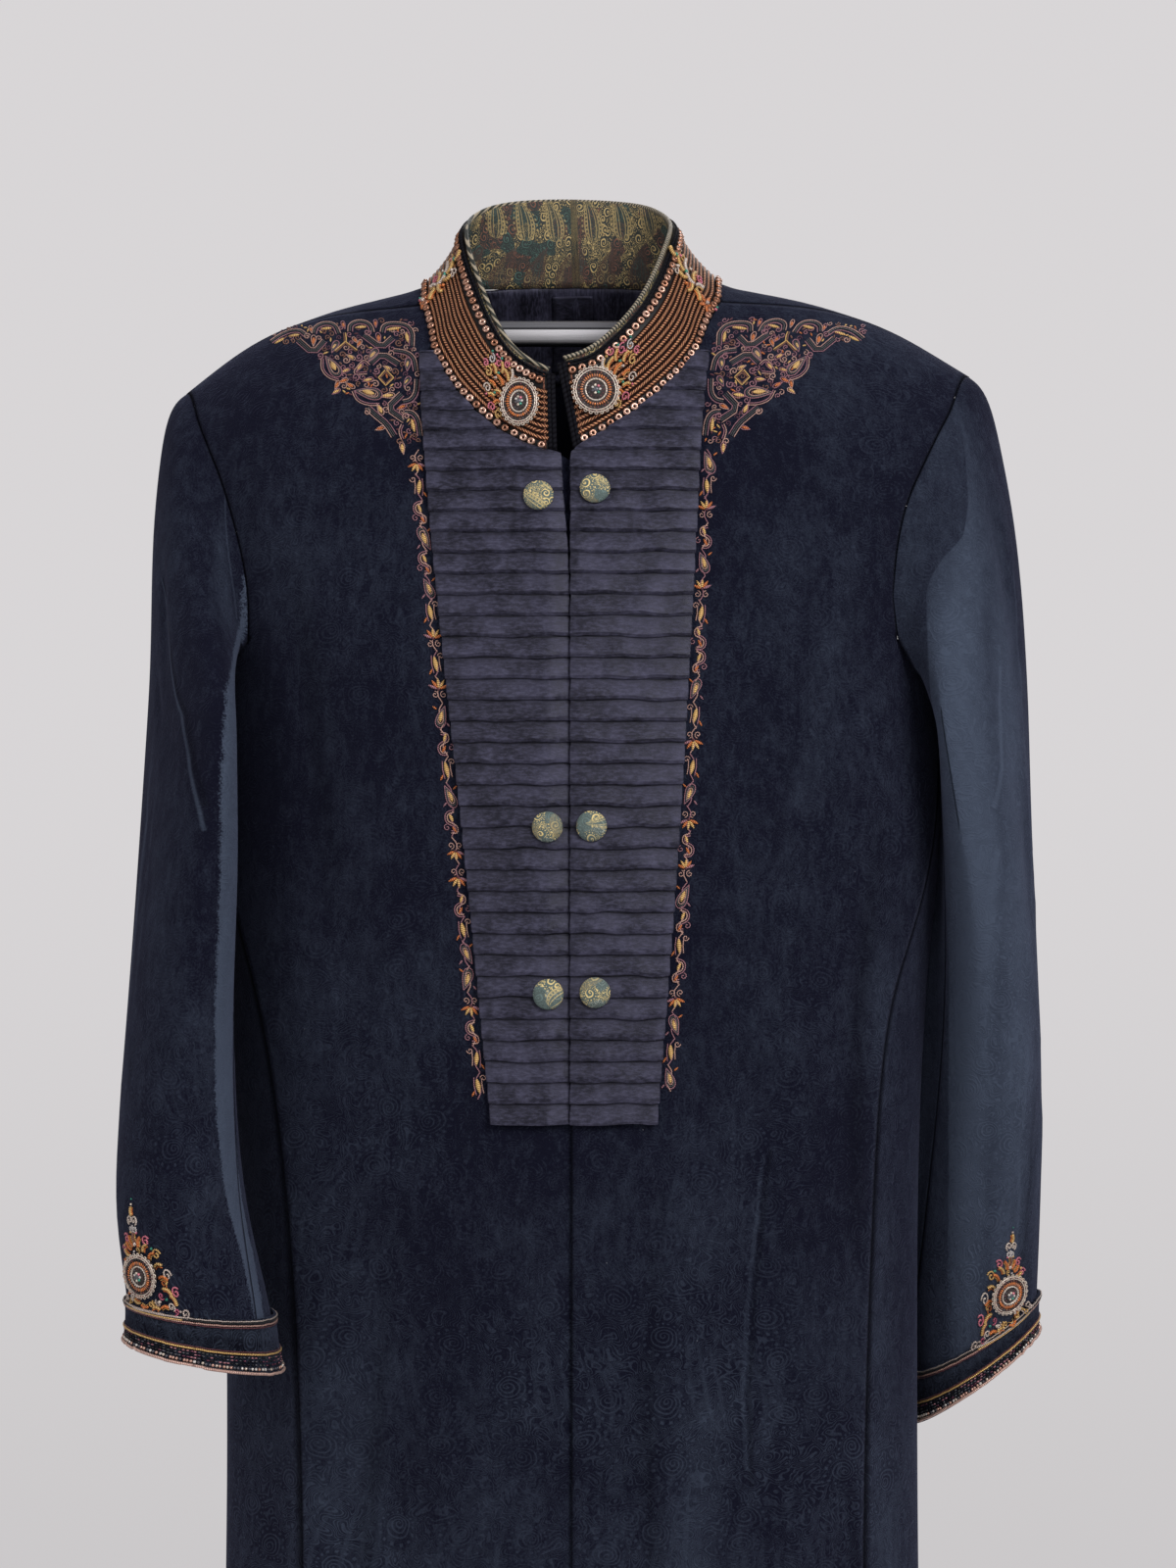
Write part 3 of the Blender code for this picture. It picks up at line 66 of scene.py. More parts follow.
# Collar, from its right end round the back to its left end: base x, y, z and top x, y, z
COLLAR_COLUMNS = (
    (-13.0, -89.4, -82.8, -14.1, -82.1, -34.9),
    (-22.0, -88.9, -81.0, -20.2, -80.9, -32.8),
    (-42.9, -87.0, -70.0, -31.9, -76.6, -25.2),
    (-57.0, -83.0, -57.6, -40.0, -72.0, -15.9),
    (-68.5, -77.6, -45.2, -46.5, -66.8, -4.8),
    (-76.0, -70.5, -32.9, -51.6, -61.6, 6.5),
    (-82.5, -61.8, -20.5, -56.3, -55.3, 18.7),
    (-85.3, -52.5, -7.7, -60.0, -48.9, 28.7),
    (-88.2, -42.9, 3.7, -63.3, -41.2, 38.8),
    (-91.0, -33.5, 12.9, -65.6, -33.0, 47.8),
    (-91.9, -16.7, 25.5, -67.5, -17.0, 60.9),
    (-92.5, -0.0, 29.7, -65.6, 0.5, 69.9),
    (-88.0, 14.3, 29.0, -60.6, 13.0, 76.0),
    (-72.0, 26.5, 31.5, -51.5, 24.8, 82.0),
    (-48.0, 38.3, 34.0, -35.9, 35.8, 86.6),
    (-22.0, 44.3, 35.5, -18.0, 41.6, 88.6),
    (0.0, 45.7, 36.0, -1.1, 43.0, 89.0),
    (22.0, 44.3, 35.5, 15.4, 41.4, 88.1),
    (48.0, 38.6, 34.0, 32.8, 35.4, 86.0),
    (72.0, 28.0, 31.5, 47.4, 24.9, 82.2),
    (88.0, 17.9, 29.0, 55.4, 15.0, 77.6),
    (92.5, -0.0, 31.7, 61.7, 0.2, 70.9),
    (91.7, -16.7, 27.5, 63.5, -16.9, 63.2),
    (90.5, -33.4, 14.9, 61.7, -32.6, 54.1),
    (85.5, -43.7, 5.4, 59.0, -42.1, 45.3),
    (80.3, -54.3, -6.8, 55.0, -50.9, 33.8),
    (75.3, -64.2, -20.5, 50.2, -58.2, 23.0),
    (66.5, -72.7, -32.9, 44.4, -65.0, 11.5),
    (54.7, -79.3, -45.2, 37.1, -71.2, 0.9),
    (40.0, -83.8, -57.6, 26.7, -77.2, -11.2),
    (21.9, -87.9, -69.9, 11.4, -81.9, -24.3),
    (5.5, -91.1, -80.5, -3.9, -83.0, -28.6),
)
# Collar, in metres: its middle, its bulge in front, its hollow behind, its height, the radius of its chart
COLLAR_MIDDLE = Vector((0.0, -0.015, 0.0))
COLLAR_BULGE = 0.0022
COLLAR_HOLLOW = 0.0034
COLLAR_HEIGHT = 0.052
COLLAR_ROUND = 0.07
# Cord rows of the collar: how many, and where they start and end as shares of its height
BRAID_ROWS = 9
BRAID_START = 0.11
BRAID_END = 0.76

# Outer edge of the bib: height, distance from the middle on the left, on the right
BIB_EDGE = (
    (-477.5, 49.6, 45.8),
    (-326, 61.5, 60.8),
    (-109, 74.5, 84),
    (-61, 77.6, 88),
    (-8, 85, 92),
    (14, 94, 96.5),
)

# Middle line of each sleeve: height, x, y
SLEEVE_AXIS = {
    "left": ((-40, 225, -12), (-250, 241, -12), (-400, 249, -8), (-523, 253, 10), (-587, 253.5, 22),
             (-655, 254, 35), (-720, 254, 44)),
    "right": ((-40, -215, -30), (-250, -228, -43), (-396, -231, -70), (-534, -228, -93), (-580, -217, -103),
              (-614, -214.5, -109), (-680, -212, -116)),
}
# Radius of the sleeves' charts and half axes of the body's chart, in metres
SLEEVE_ROUND = 0.050
BODY_HALF = (0.175, 0.100)
# Height of a sewn cord for its width
CORD_HEIGHT = 1.1

# ---------------------------------------------------------------- small helpers


def pick(obj):
    """Only obj selected, and active."""
    bpy.ops.object.select_all(action="DESELECT")
    obj.select_set(True)
    bpy.context.view_layer.objects.active = obj


def mix(a, b, t):
    """Point or number a part of the way from a to b."""
    return a + (b - a) * t


def smooth(start, end, values):
    """Soft step from 0 at the start to 1 at the end, for one value or many."""
    t = np.clip((values - start) / (end - start), 0.0, 1.0)
    return t * t * (3.0 - 2.0 * t)


def read(table, at, column):
    """Value of a table's column, its rows ordered by their first column."""
    rows = sorted(table)
    return float(np.interp(at, [row[0] for row in rows], [row[column] for row in rows]))


def link(name, mesh, material):
    """New object of a mesh, in the scene, with one material."""
    obj = bpy.data.objects.new(name, mesh)
    bpy.context.scene.collection.objects.link(obj)
    mesh.materials.clear()
    mesh.materials.append(material)
    return obj


def built(name, points, faces, material):
    """New object of some points and faces."""
    mesh = bpy.data.meshes.new(name)
    mesh.from_pydata(points, [], faces)
    return link(name, mesh, material)


def edit(obj, *steps):
    """Takes mesh steps on all of an object's faces; each step is an operator and its settings."""
    pick(obj)
    bpy.ops.object.mode_set(mode="EDIT")
    bpy.ops.mesh.select_all(action="SELECT")
    for step, settings in steps:
        step(**settings)
    bpy.ops.object.mode_set(mode="OBJECT")


def shade_smooth(obj, angle):
    """Smooth shading up to an angle in degrees."""
    pick(obj)
    bpy.ops.object.shade_smooth_by_angle(angle=math.radians(angle))


def modify(obj, kind, **settings):
    """Adds one modifier and applies it."""
    pick(obj)
    made = obj.modifiers.new(kind.title(), kind)
    for key, value in settings.items():
        setattr(made, key, value)
    bpy.ops.object.modifier_apply(modifier=made.name)


def finish_piece(obj, slot, *nodes):
    """Rides obj on the coat's body and hides the solids of the nodes it stands for; slot is not used."""
    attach(obj, BODY)
    if nodes:
        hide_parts(*nodes)
    return obj


def points_of(obj):
    """An object's vertices as an array."""
    flat = np.empty(len(obj.data.vertices) * 3)
    obj.data.vertices.foreach_get("co", flat)
    return flat.reshape(-1, 3)


def put_points(obj, points):
    """Moves an object's vertices."""
    obj.data.vertices.foreach_set("co", points.astype(np.float32).ravel())
    obj.data.update()


def paint_uv(obj, uv):
    """UV map from one pair of values for each vertex."""
    layer = obj.data.uv_layers.get("cloth") or obj.data.uv_layers.new(name="cloth")
    loops = np.empty(len(obj.data.loops), dtype=np.int64)
    obj.data.loops.foreach_get("vertex_index", loops)
    layer.data.foreach_set("uv", uv[loops].astype(np.float32).ravel())


def paint_value(obj, name, values):
    """One number for each vertex, for the material to read."""
    layer = obj.data.attributes.get(name) or obj.data.attributes.new(name, "FLOAT", "POINT")
    layer.data.foreach_set("value", values.astype(np.float32))


# ---------------------------------------------------------------- cloth copied from a solid


def cloth_copy(node, name, material, levels, sharp=55.0):
    """Finer copy of a cloth solid: loose triangles merged into quads, edges kept crisp, then subdivided."""
    obj = link(name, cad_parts[node].data.copy(), material)
    obj.parent = None
    for layer in list(obj.data.uv_layers):
        obj.data.uv_layers.remove(layer)
    quads = {"face_threshold": math.radians(38), "shape_threshold": math.radians(120)}
    edit(obj, (bpy.ops.mesh.remove_doubles, {"threshold": 0.00002}),
         (bpy.ops.mesh.tris_convert_to_quads, quads))
    net = bmesh.new()
    net.from_mesh(obj.data)
    crease = net.edges.layers.float.get("crease_edge") or net.edges.layers.float.new("crease_edge")
    for edge in net.edges:
        if len(edge.link_faces) == 2 and edge.calc_face_angle(0.0) > math.radians(sharp):
            edge[crease] = 1.0
    net.to_mesh(obj.data)
    net.free()
    if levels:
        modify(obj, "SUBSURF", levels=levels, render_levels=levels)
    shade_smooth(obj, 50)
    return obj


def reach_past(points, above, below):
    """Moves the top and bottom rims of upright points outwards, so that nothing shows through at them."""
    low, high = points[:, 2].min(), points[:, 2].max()
    points[:, 2] += smooth(high - 0.004, high, points[:, 2]) * above
    points[:, 2] -= smooth(low + 0.004, low, points[:, 2]) * below


def body_chart(points):
    """Distance round the body from the front's middle, and height, of points on the body."""
    angles = np.arctan2(points[:, 0] / BODY_HALF[0], -points[:, 1] / BODY_HALF[1])
    turn = np.radians(np.arange(-180, 181, 3))
    step = np.hypot(BODY_HALF[0] * np.cos(turn), BODY_HALF[1] * np.sin(turn)) * math.radians(3)
    length = np.concatenate([[0.0], np.cumsum((step[1:] + step[:-1]) / 2)])
    length -= length[len(length) // 2]
    return np.stack([np.interp(angles, turn, length), points[:, 2]], axis=1)


def sleeve_axis(word, z):
    """x and y of a sleeve's middle line at some heights."""
    rows = np.array(sorted(SLEEVE_AXIS[word])) * MM
    return np.interp(z, rows[:, 0], rows[:, 1]), np.interp(z, rows[:, 0], rows[:, 2])


def sleeve_middle(word, z):
    """Point of a sleeve's middle line at a height."""
    return Vector((*sleeve_axis(word, z), z))


def sleeve_chart(word, points):
    """Distance round a sleeve from its front, and height, of points on it."""
    x, y = sleeve_axis(word, points[:, 2])
    return np.stack([np.arctan2(points[:, 0] - x, -(points[:, 1] - y)) * SLEEVE_ROUND, points[:, 2]], axis=1)


def away_from_axis(word, points):
    """Level directions from the middle line of a sleeve, or of the body, to the points."""
    if word in SLEEVE_AXIS:
        out = points[:, :2] - np.stack(sleeve_axis(word, points[:, 2]), axis=1)
    else:
        out = points[:, :2] / np.array(BODY_HALF) ** 2
    out = out / np.maximum(np.linalg.norm(out, axis=1, keepdims=True), 1e-6)
    return np.concatenate([out, np.zeros((len(out), 1))], axis=1)


def stroke(chart, line, width):
    """Soft band of strength 1 along a line of chart points, fading at its two ends."""
    best = np.zeros(len(chart))
    line = np.array(line)
    lengths = np.linalg.norm(np.diff(line, axis=0), axis=1)
    total, gone = lengths.sum(), 0.0
    for a, b, length in zip(line[:-1], line[1:], lengths):
        t = np.clip(((chart - a) @ (b - a)) / max(length ** 2, 1e-12), 0.0, 1.0)
        away = np.linalg.norm(chart - a - t[:, None] * (b - a), axis=1)
        along = (gone + t * length) / total
        fade = np.clip(np.minimum(along, 1.0 - along) * 4.0, 0.0, 1.0)
        best = np.maximum(best, np.exp(-(away / width) ** 2) * (0.25 + 0.75 * fade))
        gone += length
    return best


def grid_sheet(name, rows, material, thickness):
    """Cloth through rows of points, given a thickness behind its face; the rows also give its map."""
    wide = len(rows[0])
    faces = [(k * wide + i, k * wide + i + 1, (k + 1) * wide + i + 1, (k + 1) * wide + i)
             for k in range(len(rows) - 1) for i in range(wide - 1)]
    obj = built(name, [point for row in rows for point in row], faces, material)
    paint_uv(obj, points_of(obj)[:, [0, 2]])
    modify(obj, "SOLIDIFY", thickness=thickness, offset=-1.0)
    return obj


class Surface:
    """Faces of some objects, for laying other things on them."""

    def __init__(self, *objects):
        corners, faces = [], []
        for obj in objects:
            faces += [[len(corners) + i for i in face.vertices] for face in obj.data.polygons]
            corners += [vertex.co.copy() for vertex in obj.data.vertices]
        self.tree = BVHTree.FromPolygons(corners, faces)

    def meet(self, start, way):
        """Point and outward normal where a ray first meets the surface."""
        point, normal, _, _ = self.tree.ray_cast(start, way)
        if point is None:
            return None
        return point, (-normal if normal.dot(way) > 0 else normal)

    def front(self, x, z):
        """Place seen straight from the front at x and z."""
        return self.meet(Vector((x, -0.6, z)), Vector((0, 1, 0)))

    def round(self, middle, angle, reach=0.2):
        """Place round a middle point, at an angle from the front towards the wearer's left."""
        out = Vector((math.sin(math.radians(angle)), -math.cos(math.radians(angle)), 0))
        found = self.meet(middle + out * reach, -out)
        return found if found and (found[0] - middle).dot(out) > 0.002 else None


# ---------------------------------------------------------------- shader building blocks


class Term:
    """One result of a shader node; sums written with it add Math nodes to its tree."""

    def __init__(self, socket):
        self.socket = socket

    def __add__(self, other):
        return sums("ADD", self, other)

    def __sub__(self, other):
        return sums("SUBTRACT", self, other)

    def __rsub__(self, other):
        return sums("SUBTRACT", other, self)

    def __mul__(self, other):
        return sums("MULTIPLY", self, other)

    def __truediv__(self, other):
        return sums("DIVIDE", self, other)

    def __rtruediv__(self, other):
        return sums("DIVIDE", other, self)


class Results:
    """A shader node's results as terms, by number or name."""

    def __init__(self, node):
        self.node = node

    def __getitem__(self, key):
        return Term(self.node.outputs[key])


def fill(node, inputs):
    """Links terms to a node's inputs, or sets plain values there."""
    for key, value in inputs.items():
        if isinstance(value, Term):
            node.id_data.links.new(value.socket, node.inputs[key])
        else:
            node.inputs[key].default_value = value


def put(kind, inputs=None, tree=None, **settings):
    """Adds a shader node to a tree, by default the tree of its inputs."""
    inputs = inputs or {}
    tree = tree or next(value.socket.id_data for value in inputs.values() if isinstance(value, Term))
    node = tree.nodes.new(kind)
    for key, value in settings.items():
        setattr(node, key, value)
    fill(node, inputs)
    return Results(node)


def sums(operation, a, b=0.0, c=0.0, clamp=False):
    """One Math node's result."""
    return put("ShaderNodeMath", {0: a, 1: b, 2: c}, operation=operation, use_clamp=clamp)[0]


def sine(a):
    """Sine of a term."""
    return sums("SINE", a)


def most(a, b):
    """The larger of two."""
    return sums("MAXIMUM", a, b)


def eased(a, rate, start):
    """A term times a rate, from a start."""
    return sums("MULTIPLY_ADD", a, rate, start)


def vectors(operation, *given, **named):
    """One Vector Math node's results."""
    return put("ShaderNodeVectorMath", {**dict(enumerate(given)), **named}, operation=operation)


def split(vector):
    """Parts of a vector."""
    return put("ShaderNodeSeparateXYZ", {0: vector})


def rgb(colour):
    """Colour with its alpha; a term stays as it is."""
    return colour if isinstance(colour, Term) else (*colour, 1.0)


def dimmed(colour, share):
    """A share of a colour's light."""
    return [part * share for part in colour]


def blend(factor, a, b, kind="MIX"):
    """One colour Mix node's result."""
    return put("ShaderNodeMix", {0: factor, 6: rgb(a), 7: rgb(b)}, data_type="RGBA", blend_type=kind)[2]


def ramp(value, low, high, to_low=0.0, to_high=1.0, kind="SMOOTHSTEP"):
    """Step of a value between two limits."""
    return put("ShaderNodeMapRange", {0: value, 1: low, 2: high, 3: to_low, 4: to_high},
               interpolation_type=kind)[0]


def band(value, centre, half):
    """1 where a value is near a centre, fading to 0 at half a width away."""
    return ramp(sums("ABSOLUTE", value - centre), half * 0.4, half, 1.0, 0.0)


def noise(vector, scale, detail, output=0, **more):
    """Noise at a scale, as a number or as a colour."""
    return put("ShaderNodeTexNoise", {"Vector": vector, "Scale": scale, "Detail": detail, **more})[output]


def painted(tree, name):
    """Numbers painted on the vertices."""
    return put("ShaderNodeAttribute", tree=tree, attribute_name=name)["Fac"]


def own_colour(tree):
    """Colour of each cord or bead."""
    return put("ShaderNodeVertexColor", tree=tree, layer_name="thread")[0]


def cloth_map(tree):
    """The piece's own map."""
    return put("ShaderNodeUVMap", tree=tree, uv_map="cloth")[0]


def place_of(tree):
    """Object coordinates."""
    return put("ShaderNodeTexCoord", tree=tree)["Object"]


def grouped(name, **inputs):
    """Results of a shader node group, which is built on its first use."""
    if name not in bpy.data.node_groups:
        build, sockets = GROUPS[name]
        tree = bpy.data.node_groups.new(name, "ShaderNodeTree")
        for label, default in sockets.items():
            kind = "NodeSocketVector" if default is None else "NodeSocketFloat"
            socket = tree.interface.new_socket(label, in_out="INPUT", socket_type=kind)
            if default is not None:
                socket.default_value = default
        results = build(Results(tree.nodes.new("NodeGroupInput")))
        for label in results:
            tree.interface.new_socket(label, in_out="OUTPUT", socket_type="NodeSocketFloat")
        fill(tree.nodes.new("NodeGroupOutput"), results)
    return put("ShaderNodeGroup", inputs, node_tree=bpy.data.node_groups[name])


def paisley(given):
    """Half-drop rows of curling paisley leaves with nested outlines."""
    place = split(vectors("SCALE", given["Vector"], Scale=1.0 / given["Size"])[0])
    y = place[1] / 1.3
    row = sums("FLOORED_MODULO", sums("FLOOR", y), 2.0)
    across = (sums("FRACT", place[0] + row * 0.5) - 0.5) * (1.0 - row * 2.0)
    t = ramp(sums("FRACT", y), 0.06, 0.97, kind="LINEAR")
    lean = sums("POWER", t, 2.4) * 0.42
    half = sums("POWER", t, 0.5) * sums("POWER", 1.0 - t, 1.15)
    part = sums("ABSOLUTE", across - (lean - 0.10)) / most(half * 0.86, 0.001)
    lines = band(part, 0.93, 0.10)
    for centre, width in ((0.62, 0.08), (0.30, 0.07)):
        lines = most(lines, band(part, centre, width))
    beads = band(part, 1.22, 0.12) * ramp(sine(t * 62.0), 0.0, 0.4)
    ribs = band(part, 0.77, 0.12) * ramp(sine(t * 80.0), 0.0, 0.4)
    return {"Lines": most(lines, most(beads, ribs)), "Leaf": ramp(part, 0.98, 1.04, 1.0, 0.0), "Row": row}


def curls_and_dots(given):
    """Spirals ringed by dots, scattered over a ground of small winding lines."""
    scaled = vectors("SCALE", given["Vector"], Scale=1.0 / given["Size"])[0]
    moved = vectors("MULTIPLY_ADD", noise(scaled, 2.2, 1.0, "Color"), (0.16, 0.16, 0.0), scaled)[0]
    cells = put("ShaderNodeTexVoronoi", {"Vector": moved, "Scale": 1.0, "Randomness": 0.9},
                voronoi_dimensions="2D")
    parts, picks = split(vectors("SUBTRACT", moved, cells["Position"])[0]), split(cells["Color"])
    theta = sums("ARCTAN2", parts[1], parts[0])
    hand = sums("SIGN", picks[0] - 0.5)
    lean = sums("COSINE", theta - picks[1] * math.tau)
    reach = cells["Distance"] * eased(lean, 0.30, 1.0)
    spiral = reach * (given["Turns"] * math.tau * 1.8) - theta * hand
    share = reach / given["Reach"]
    turns = ramp(sine(spiral), 0.0, 0.7) * ramp(share, 0.94, 1.06, 1.0, 0.0)
    field = noise(scaled, 3.4, 0.0, Distortion=0.9)
    nested = ramp(sine(field * eased(given["Turns"], 6.4, 12.0)), 0.1, 0.8) * ramp(share, 1.38, 1.55)
    dots = band(share, 1.22, 0.13) * ramp(sine(theta * 16.0), 0.1, 0.6)
    return {"Lines": most(turns, nested), "Dots": dots, "Pick": picks[2]}


def velvet_nap(given):
    """Pile of a velvet: broad soft patches, brushed streaks and fine grain."""
    wide = noise(given["Vector"], 8.0, 4.0, Roughness=0.66)
    brushed = noise(vectors("MULTIPLY", given["Vector"], (170.0, 170.0, 80.0))[0], 1.0, 3.0, Roughness=0.65)
    fine = noise(given["Vector"], 900.0, 1.0)
    return {"Patches": ramp(wide, 0.34, 0.72) * 0.72 + ramp(brushed, 0.38, 0.72) * 0.28,
            "Grain": fine * 0.6 + brushed * 0.4}


def plain_weave(given):
    """Plain weave: threads over and under each other, by the cloth's own map."""
    parts = split(given["Vector"])
    count = given["Threads"] * math.tau
    height = sine(parts[0] * count) * sine(parts[1] * count)
    slub = noise(vectors("MULTIPLY", given["Vector"], (220.0, 640.0, 1.0))[0], 1.0, 6.0, Roughness=0.7)
    return {"Height": eased(height, 0.5, 0.5), "Slub": slub}


def straight_stroke(given):
    """Straight stroke between two places of a map: 1 along its middle, 0 beyond its width."""
    run = vectors("SUBTRACT", given["To"], given["From"])[0]
    gone = vectors("SUBTRACT", given["Vector"], given["From"])[0]
    share = sums("DIVIDE", vectors("DOT_PRODUCT", gone, run)["Value"],
                 vectors("DOT_PRODUCT", run, run)["Value"], clamp=True)
    away = vectors("DISTANCE", gone, vectors("SCALE", run, Scale=share)[0])["Value"]
    return {"Line": ramp(away / given["Width"], 0.15, 1.0, 1.0, 0.0)}


def twisted_strands(given):
    """Twisted thread: slanting strands along a cord, by its own map of length and turn."""
    parts = split(given["Vector"])
    turns = parts[0] / given["Pitch"] + parts[1]
    return {"Strand": eased(sine(turns * math.tau), 0.5, 0.5)}


# Shader node groups: what builds each, and its inputs with their values (None for a vector)
GROUPS = {
    "Paisley": (paisley, {"Vector": None, "Size": 0.04}),
    "Curls": (curls_and_dots, {"Vector": None, "Size": 0.04, "Turns": 22.0, "Reach": 0.18}),
    "Velvet nap": (velvet_nap, {"Vector": None}),
    "Plain weave": (plain_weave, {"Vector": None, "Threads": 1600.0}),
    "Twisted strands": (twisted_strands, {"Vector": None, "Pitch": 0.0016}),
    "Stroke": (straight_stroke, {"Vector": None, "From": None, "To": None, "Width": 0.002}),
}


def start_material(name, roughness=0.5, metallic=0.0, **inputs):
    """New material with its shader set; gives the material, its tree and the shader."""
    material = bpy.data.materials.new(name)
    material.use_nodes = True
    shader = material.node_tree.nodes["Principled BSDF"]
    fill(shader, {"Roughness": roughness, "Metallic": metallic})
    fill(shader, {key.replace("_", " "): value for key, value in inputs.items()})
    return material, material.node_tree, shader


def bump(shader, height, distance, strength=1.0):
    """Bump from a height, on the shader's normal."""
    fill(shader, {"Normal": put("ShaderNodeBump", {"Height": height, "Distance": distance,
                                                   "Strength": strength})[0]})


def velvet_material(name, settings, dark=1.0, kind=None):
    """Short dark pile, lighter where brushed, curls pressed in, and creases drawn as painted highlights and
    shade.
    """
    material, tree, shader = start_material(name, 0.92, Sheen_Roughness=0.5,
                                            Sheen_Tint=(0.35, 0.38, 0.62, 1.0), Specular_IOR_Level=0.05)
    place, chart = place_of(tree), cloth_map(tree)
    nap = grouped("Velvet nap", Vector=place)
    leaf = grouped("Paisley", Vector=chart, Size=settings.paisley_size * 1.6)
    curls = grouped("Curls", Vector=chart, Size=settings.paisley_size * 0.82, Turns=11.0)
    grain = nap["Grain"]
    ragged = painted(tree, "strip") + (grain - 0.5) * 0.5
    # The nap attribute holds the brushed pile and also painted highlights: one sleeve's rim highlight and the
    # wider light crease lines
    brushed = most(painted(tree, "nap"), ramp(ragged, 0.42, 0.58) * 0.84)
    # Past the turned line the brushed share is set to 0.24: the strip ends raggedly there, and the set tone
    # is painted light that lifts the shaded inner side of the sleeve
    turned = painted(tree, "turned") + eased(grain, 0.5, -0.25)
    brushed = brushed + ramp(turned, 0.42, 0.58) * (0.24 - brushed)
    weave = most(leaf["Lines"] * 0.45, most(curls["Lines"] * 0.9, curls["Dots"]))
    weave = weave * ramp(noise(place, 7.0, 1.0), 0.38, 0.62, 0.5, 1.0)
    low = ramp(split(place)[2], -0.72, -0.35, 0.32, 0.12)
    painted_crease_highlight, painted_crease_shade = crease_light_and_shade(tree, place, chart, kind)
    tone = eased(nap["Patches"], 0.24, -0.05) + brushed + weave * eased(brushed, 0.25, low)
    tone = tone + (grain - 0.5) * 0.62 + painted_crease_highlight
    pile = blend(sums("ADD", tone, 0.0, clamp=True), dimmed(settings.pile_colour, dark), settings.nap_colour)
    # Painted shade: the pile darkened along seams and hems and in the darker crease lines, with less sheen
    # there
    crease_and_seam_shade = most(painted_crease_shade, ramp(painted(tree, "seam_shade"), 0.5, 0.97) * 0.78)
    pile = blend(crease_and_seam_shade, pile, dimmed(settings.pile_colour, 0.2))
    lint = put("ShaderNodeTexVoronoi", {"Vector": place, "Scale": 95.0})
    speck = ramp(lint["Distance"], 0.02, 0.055, 1.0, 0.0) * ramp(split(lint["Color"])[0], 0.93, 0.95)
    fill(shader, {"Base Color": blend(speck * 0.35, pile, (0.32, 0.32, 0.36)),
                  "Sheen Weight": eased(crease_and_seam_shade, -0.15, 0.16)})
    bump(shader, curls["Lines"] * 0.45 + grain * 0.9, 0.0009, 0.6)
    return material


def crease_light_and_shade(tree, place, chart, kind):
    """Painted highlights and shade along one kind of panel's fine creases, drawn on its map with a slight
    waver.
    """
    moved = vectors("MULTIPLY_ADD", noise(place, 24.0, 1.0, "Color"), (WAVER, WAVER, 0.0), chart)[0]
    painted_crease_highlight, painted_crease_shade = 0.0, painted(tree, "crease_shade")
    for places, wide, strength in CREASE_LIGHT_AND_SHADE.get(kind, ()):
        if wide > WIDE_CREASE_LIGHT:
            continue
        line = [(u + WAVER / 2, v + WAVER / 2, 0.0) for u, v in chart_line(kind, places)]
        for start, end in zip(line[:-1], line[1:]):
            drawn = grouped("Stroke", Vector=moved, From=start, To=end,
                            Width=wide * MM)["Line"] * abs(strength)
            if strength > 0:
                painted_crease_highlight = most(painted_crease_highlight, drawn)
            else:
                painted_crease_shade = most(painted_crease_shade, drawn)
    return painted_crease_highlight, painted_crease_shade


def satin_material(name, settings, gloss=0.36):
    """Dark satin with slubs in its weft, patches of painted sheen, and painted shade from its shade
    attribute.
    """
    material, tree, shader = start_material(name, gloss, Sheen_Weight=0.06, Specular_IOR_Level=0.32,
                                            Specular_Tint=(0.8, 0.8, 1.0, 1.0),
                                            Sheen_Tint=(0.5, 0.5, 0.65, 1.0))
    weave = grouped("Plain weave", Vector=cloth_map(tree))
    # The cloud patches are painted sheen, lighter patches of shine in the base colour; the slubs are the
    # weft's own
    cloud = noise(place_of(tree), 48.0, 6.0, Roughness=0.62)
    tone = ramp(weave["Slub"], 0.42, 0.64) * 0.55 + ramp(cloud, 0.40, 0.64) * 0.45
    base = blend(tone, settings.satin_dark, settings.satin_light)
    fill(shader, {"Base Color": blend(painted(tree, "shade"), base, dimmed(settings.satin_dark, 0.25)),
                  "Roughness": eased(tone, 0.22, gloss)})
    bump(shader, weave["Slub"] * 1.0 + weave["Height"] * 0.2, 0.0004, 0.55)
    return material


def brocade_material(name, size, ground, colours, metallic=0.25, turns=3.0):
    """Jacquard brocade: outlined paisley leaves over gold, rust and green curls on a dark ground."""
    material, tree, shader = start_material(name, 0.55, Sheen_Weight=0.06)
    chart = cloth_map(tree)
    leaf = grouped("Paisley", Vector=chart, Size=size)
    curls = grouped("Curls", Vector=chart, Size=size * 0.40, Turns=turns, Reach=0.32)
    weave = grouped("Plain weave", Vector=chart, Threads=1100.0)
    first = blend(ramp(curls["Pick"], 0.20, 0.23), colours[0], colours[1])
    first = blend(ramp(curls["Pick"], 0.38, 0.40), first, colours[3])
    base = blend(leaf["Leaf"] * 0.10, ground, blend(leaf["Row"], colours[1], colours[2]))
    drawn = most(curls["Lines"], curls["Dots"]) * eased(leaf["Leaf"], -0.55, 1.0)
    base = blend(drawn, base, first)
    base = blend(leaf["Lines"] * eased(leaf["Row"], -0.36, 0.62), base,
                 blend(leaf["Row"], colours[3], colours[2]))
    shade = eased(weave["Slub"], 1.1, 0.42)
    shaded = put("ShaderNodeCombineColor", {0: shade, 1: shade, 2: shade})[0]
    fill(shader, {"Base Color": blend(1.0, base, shaded, "MULTIPLY"), "Metallic": leaf["Lines"] * metallic})
    bump(shader, drawn * 0.8 + weave["Height"] * 0.4, 0.0005, 0.8)
    return material


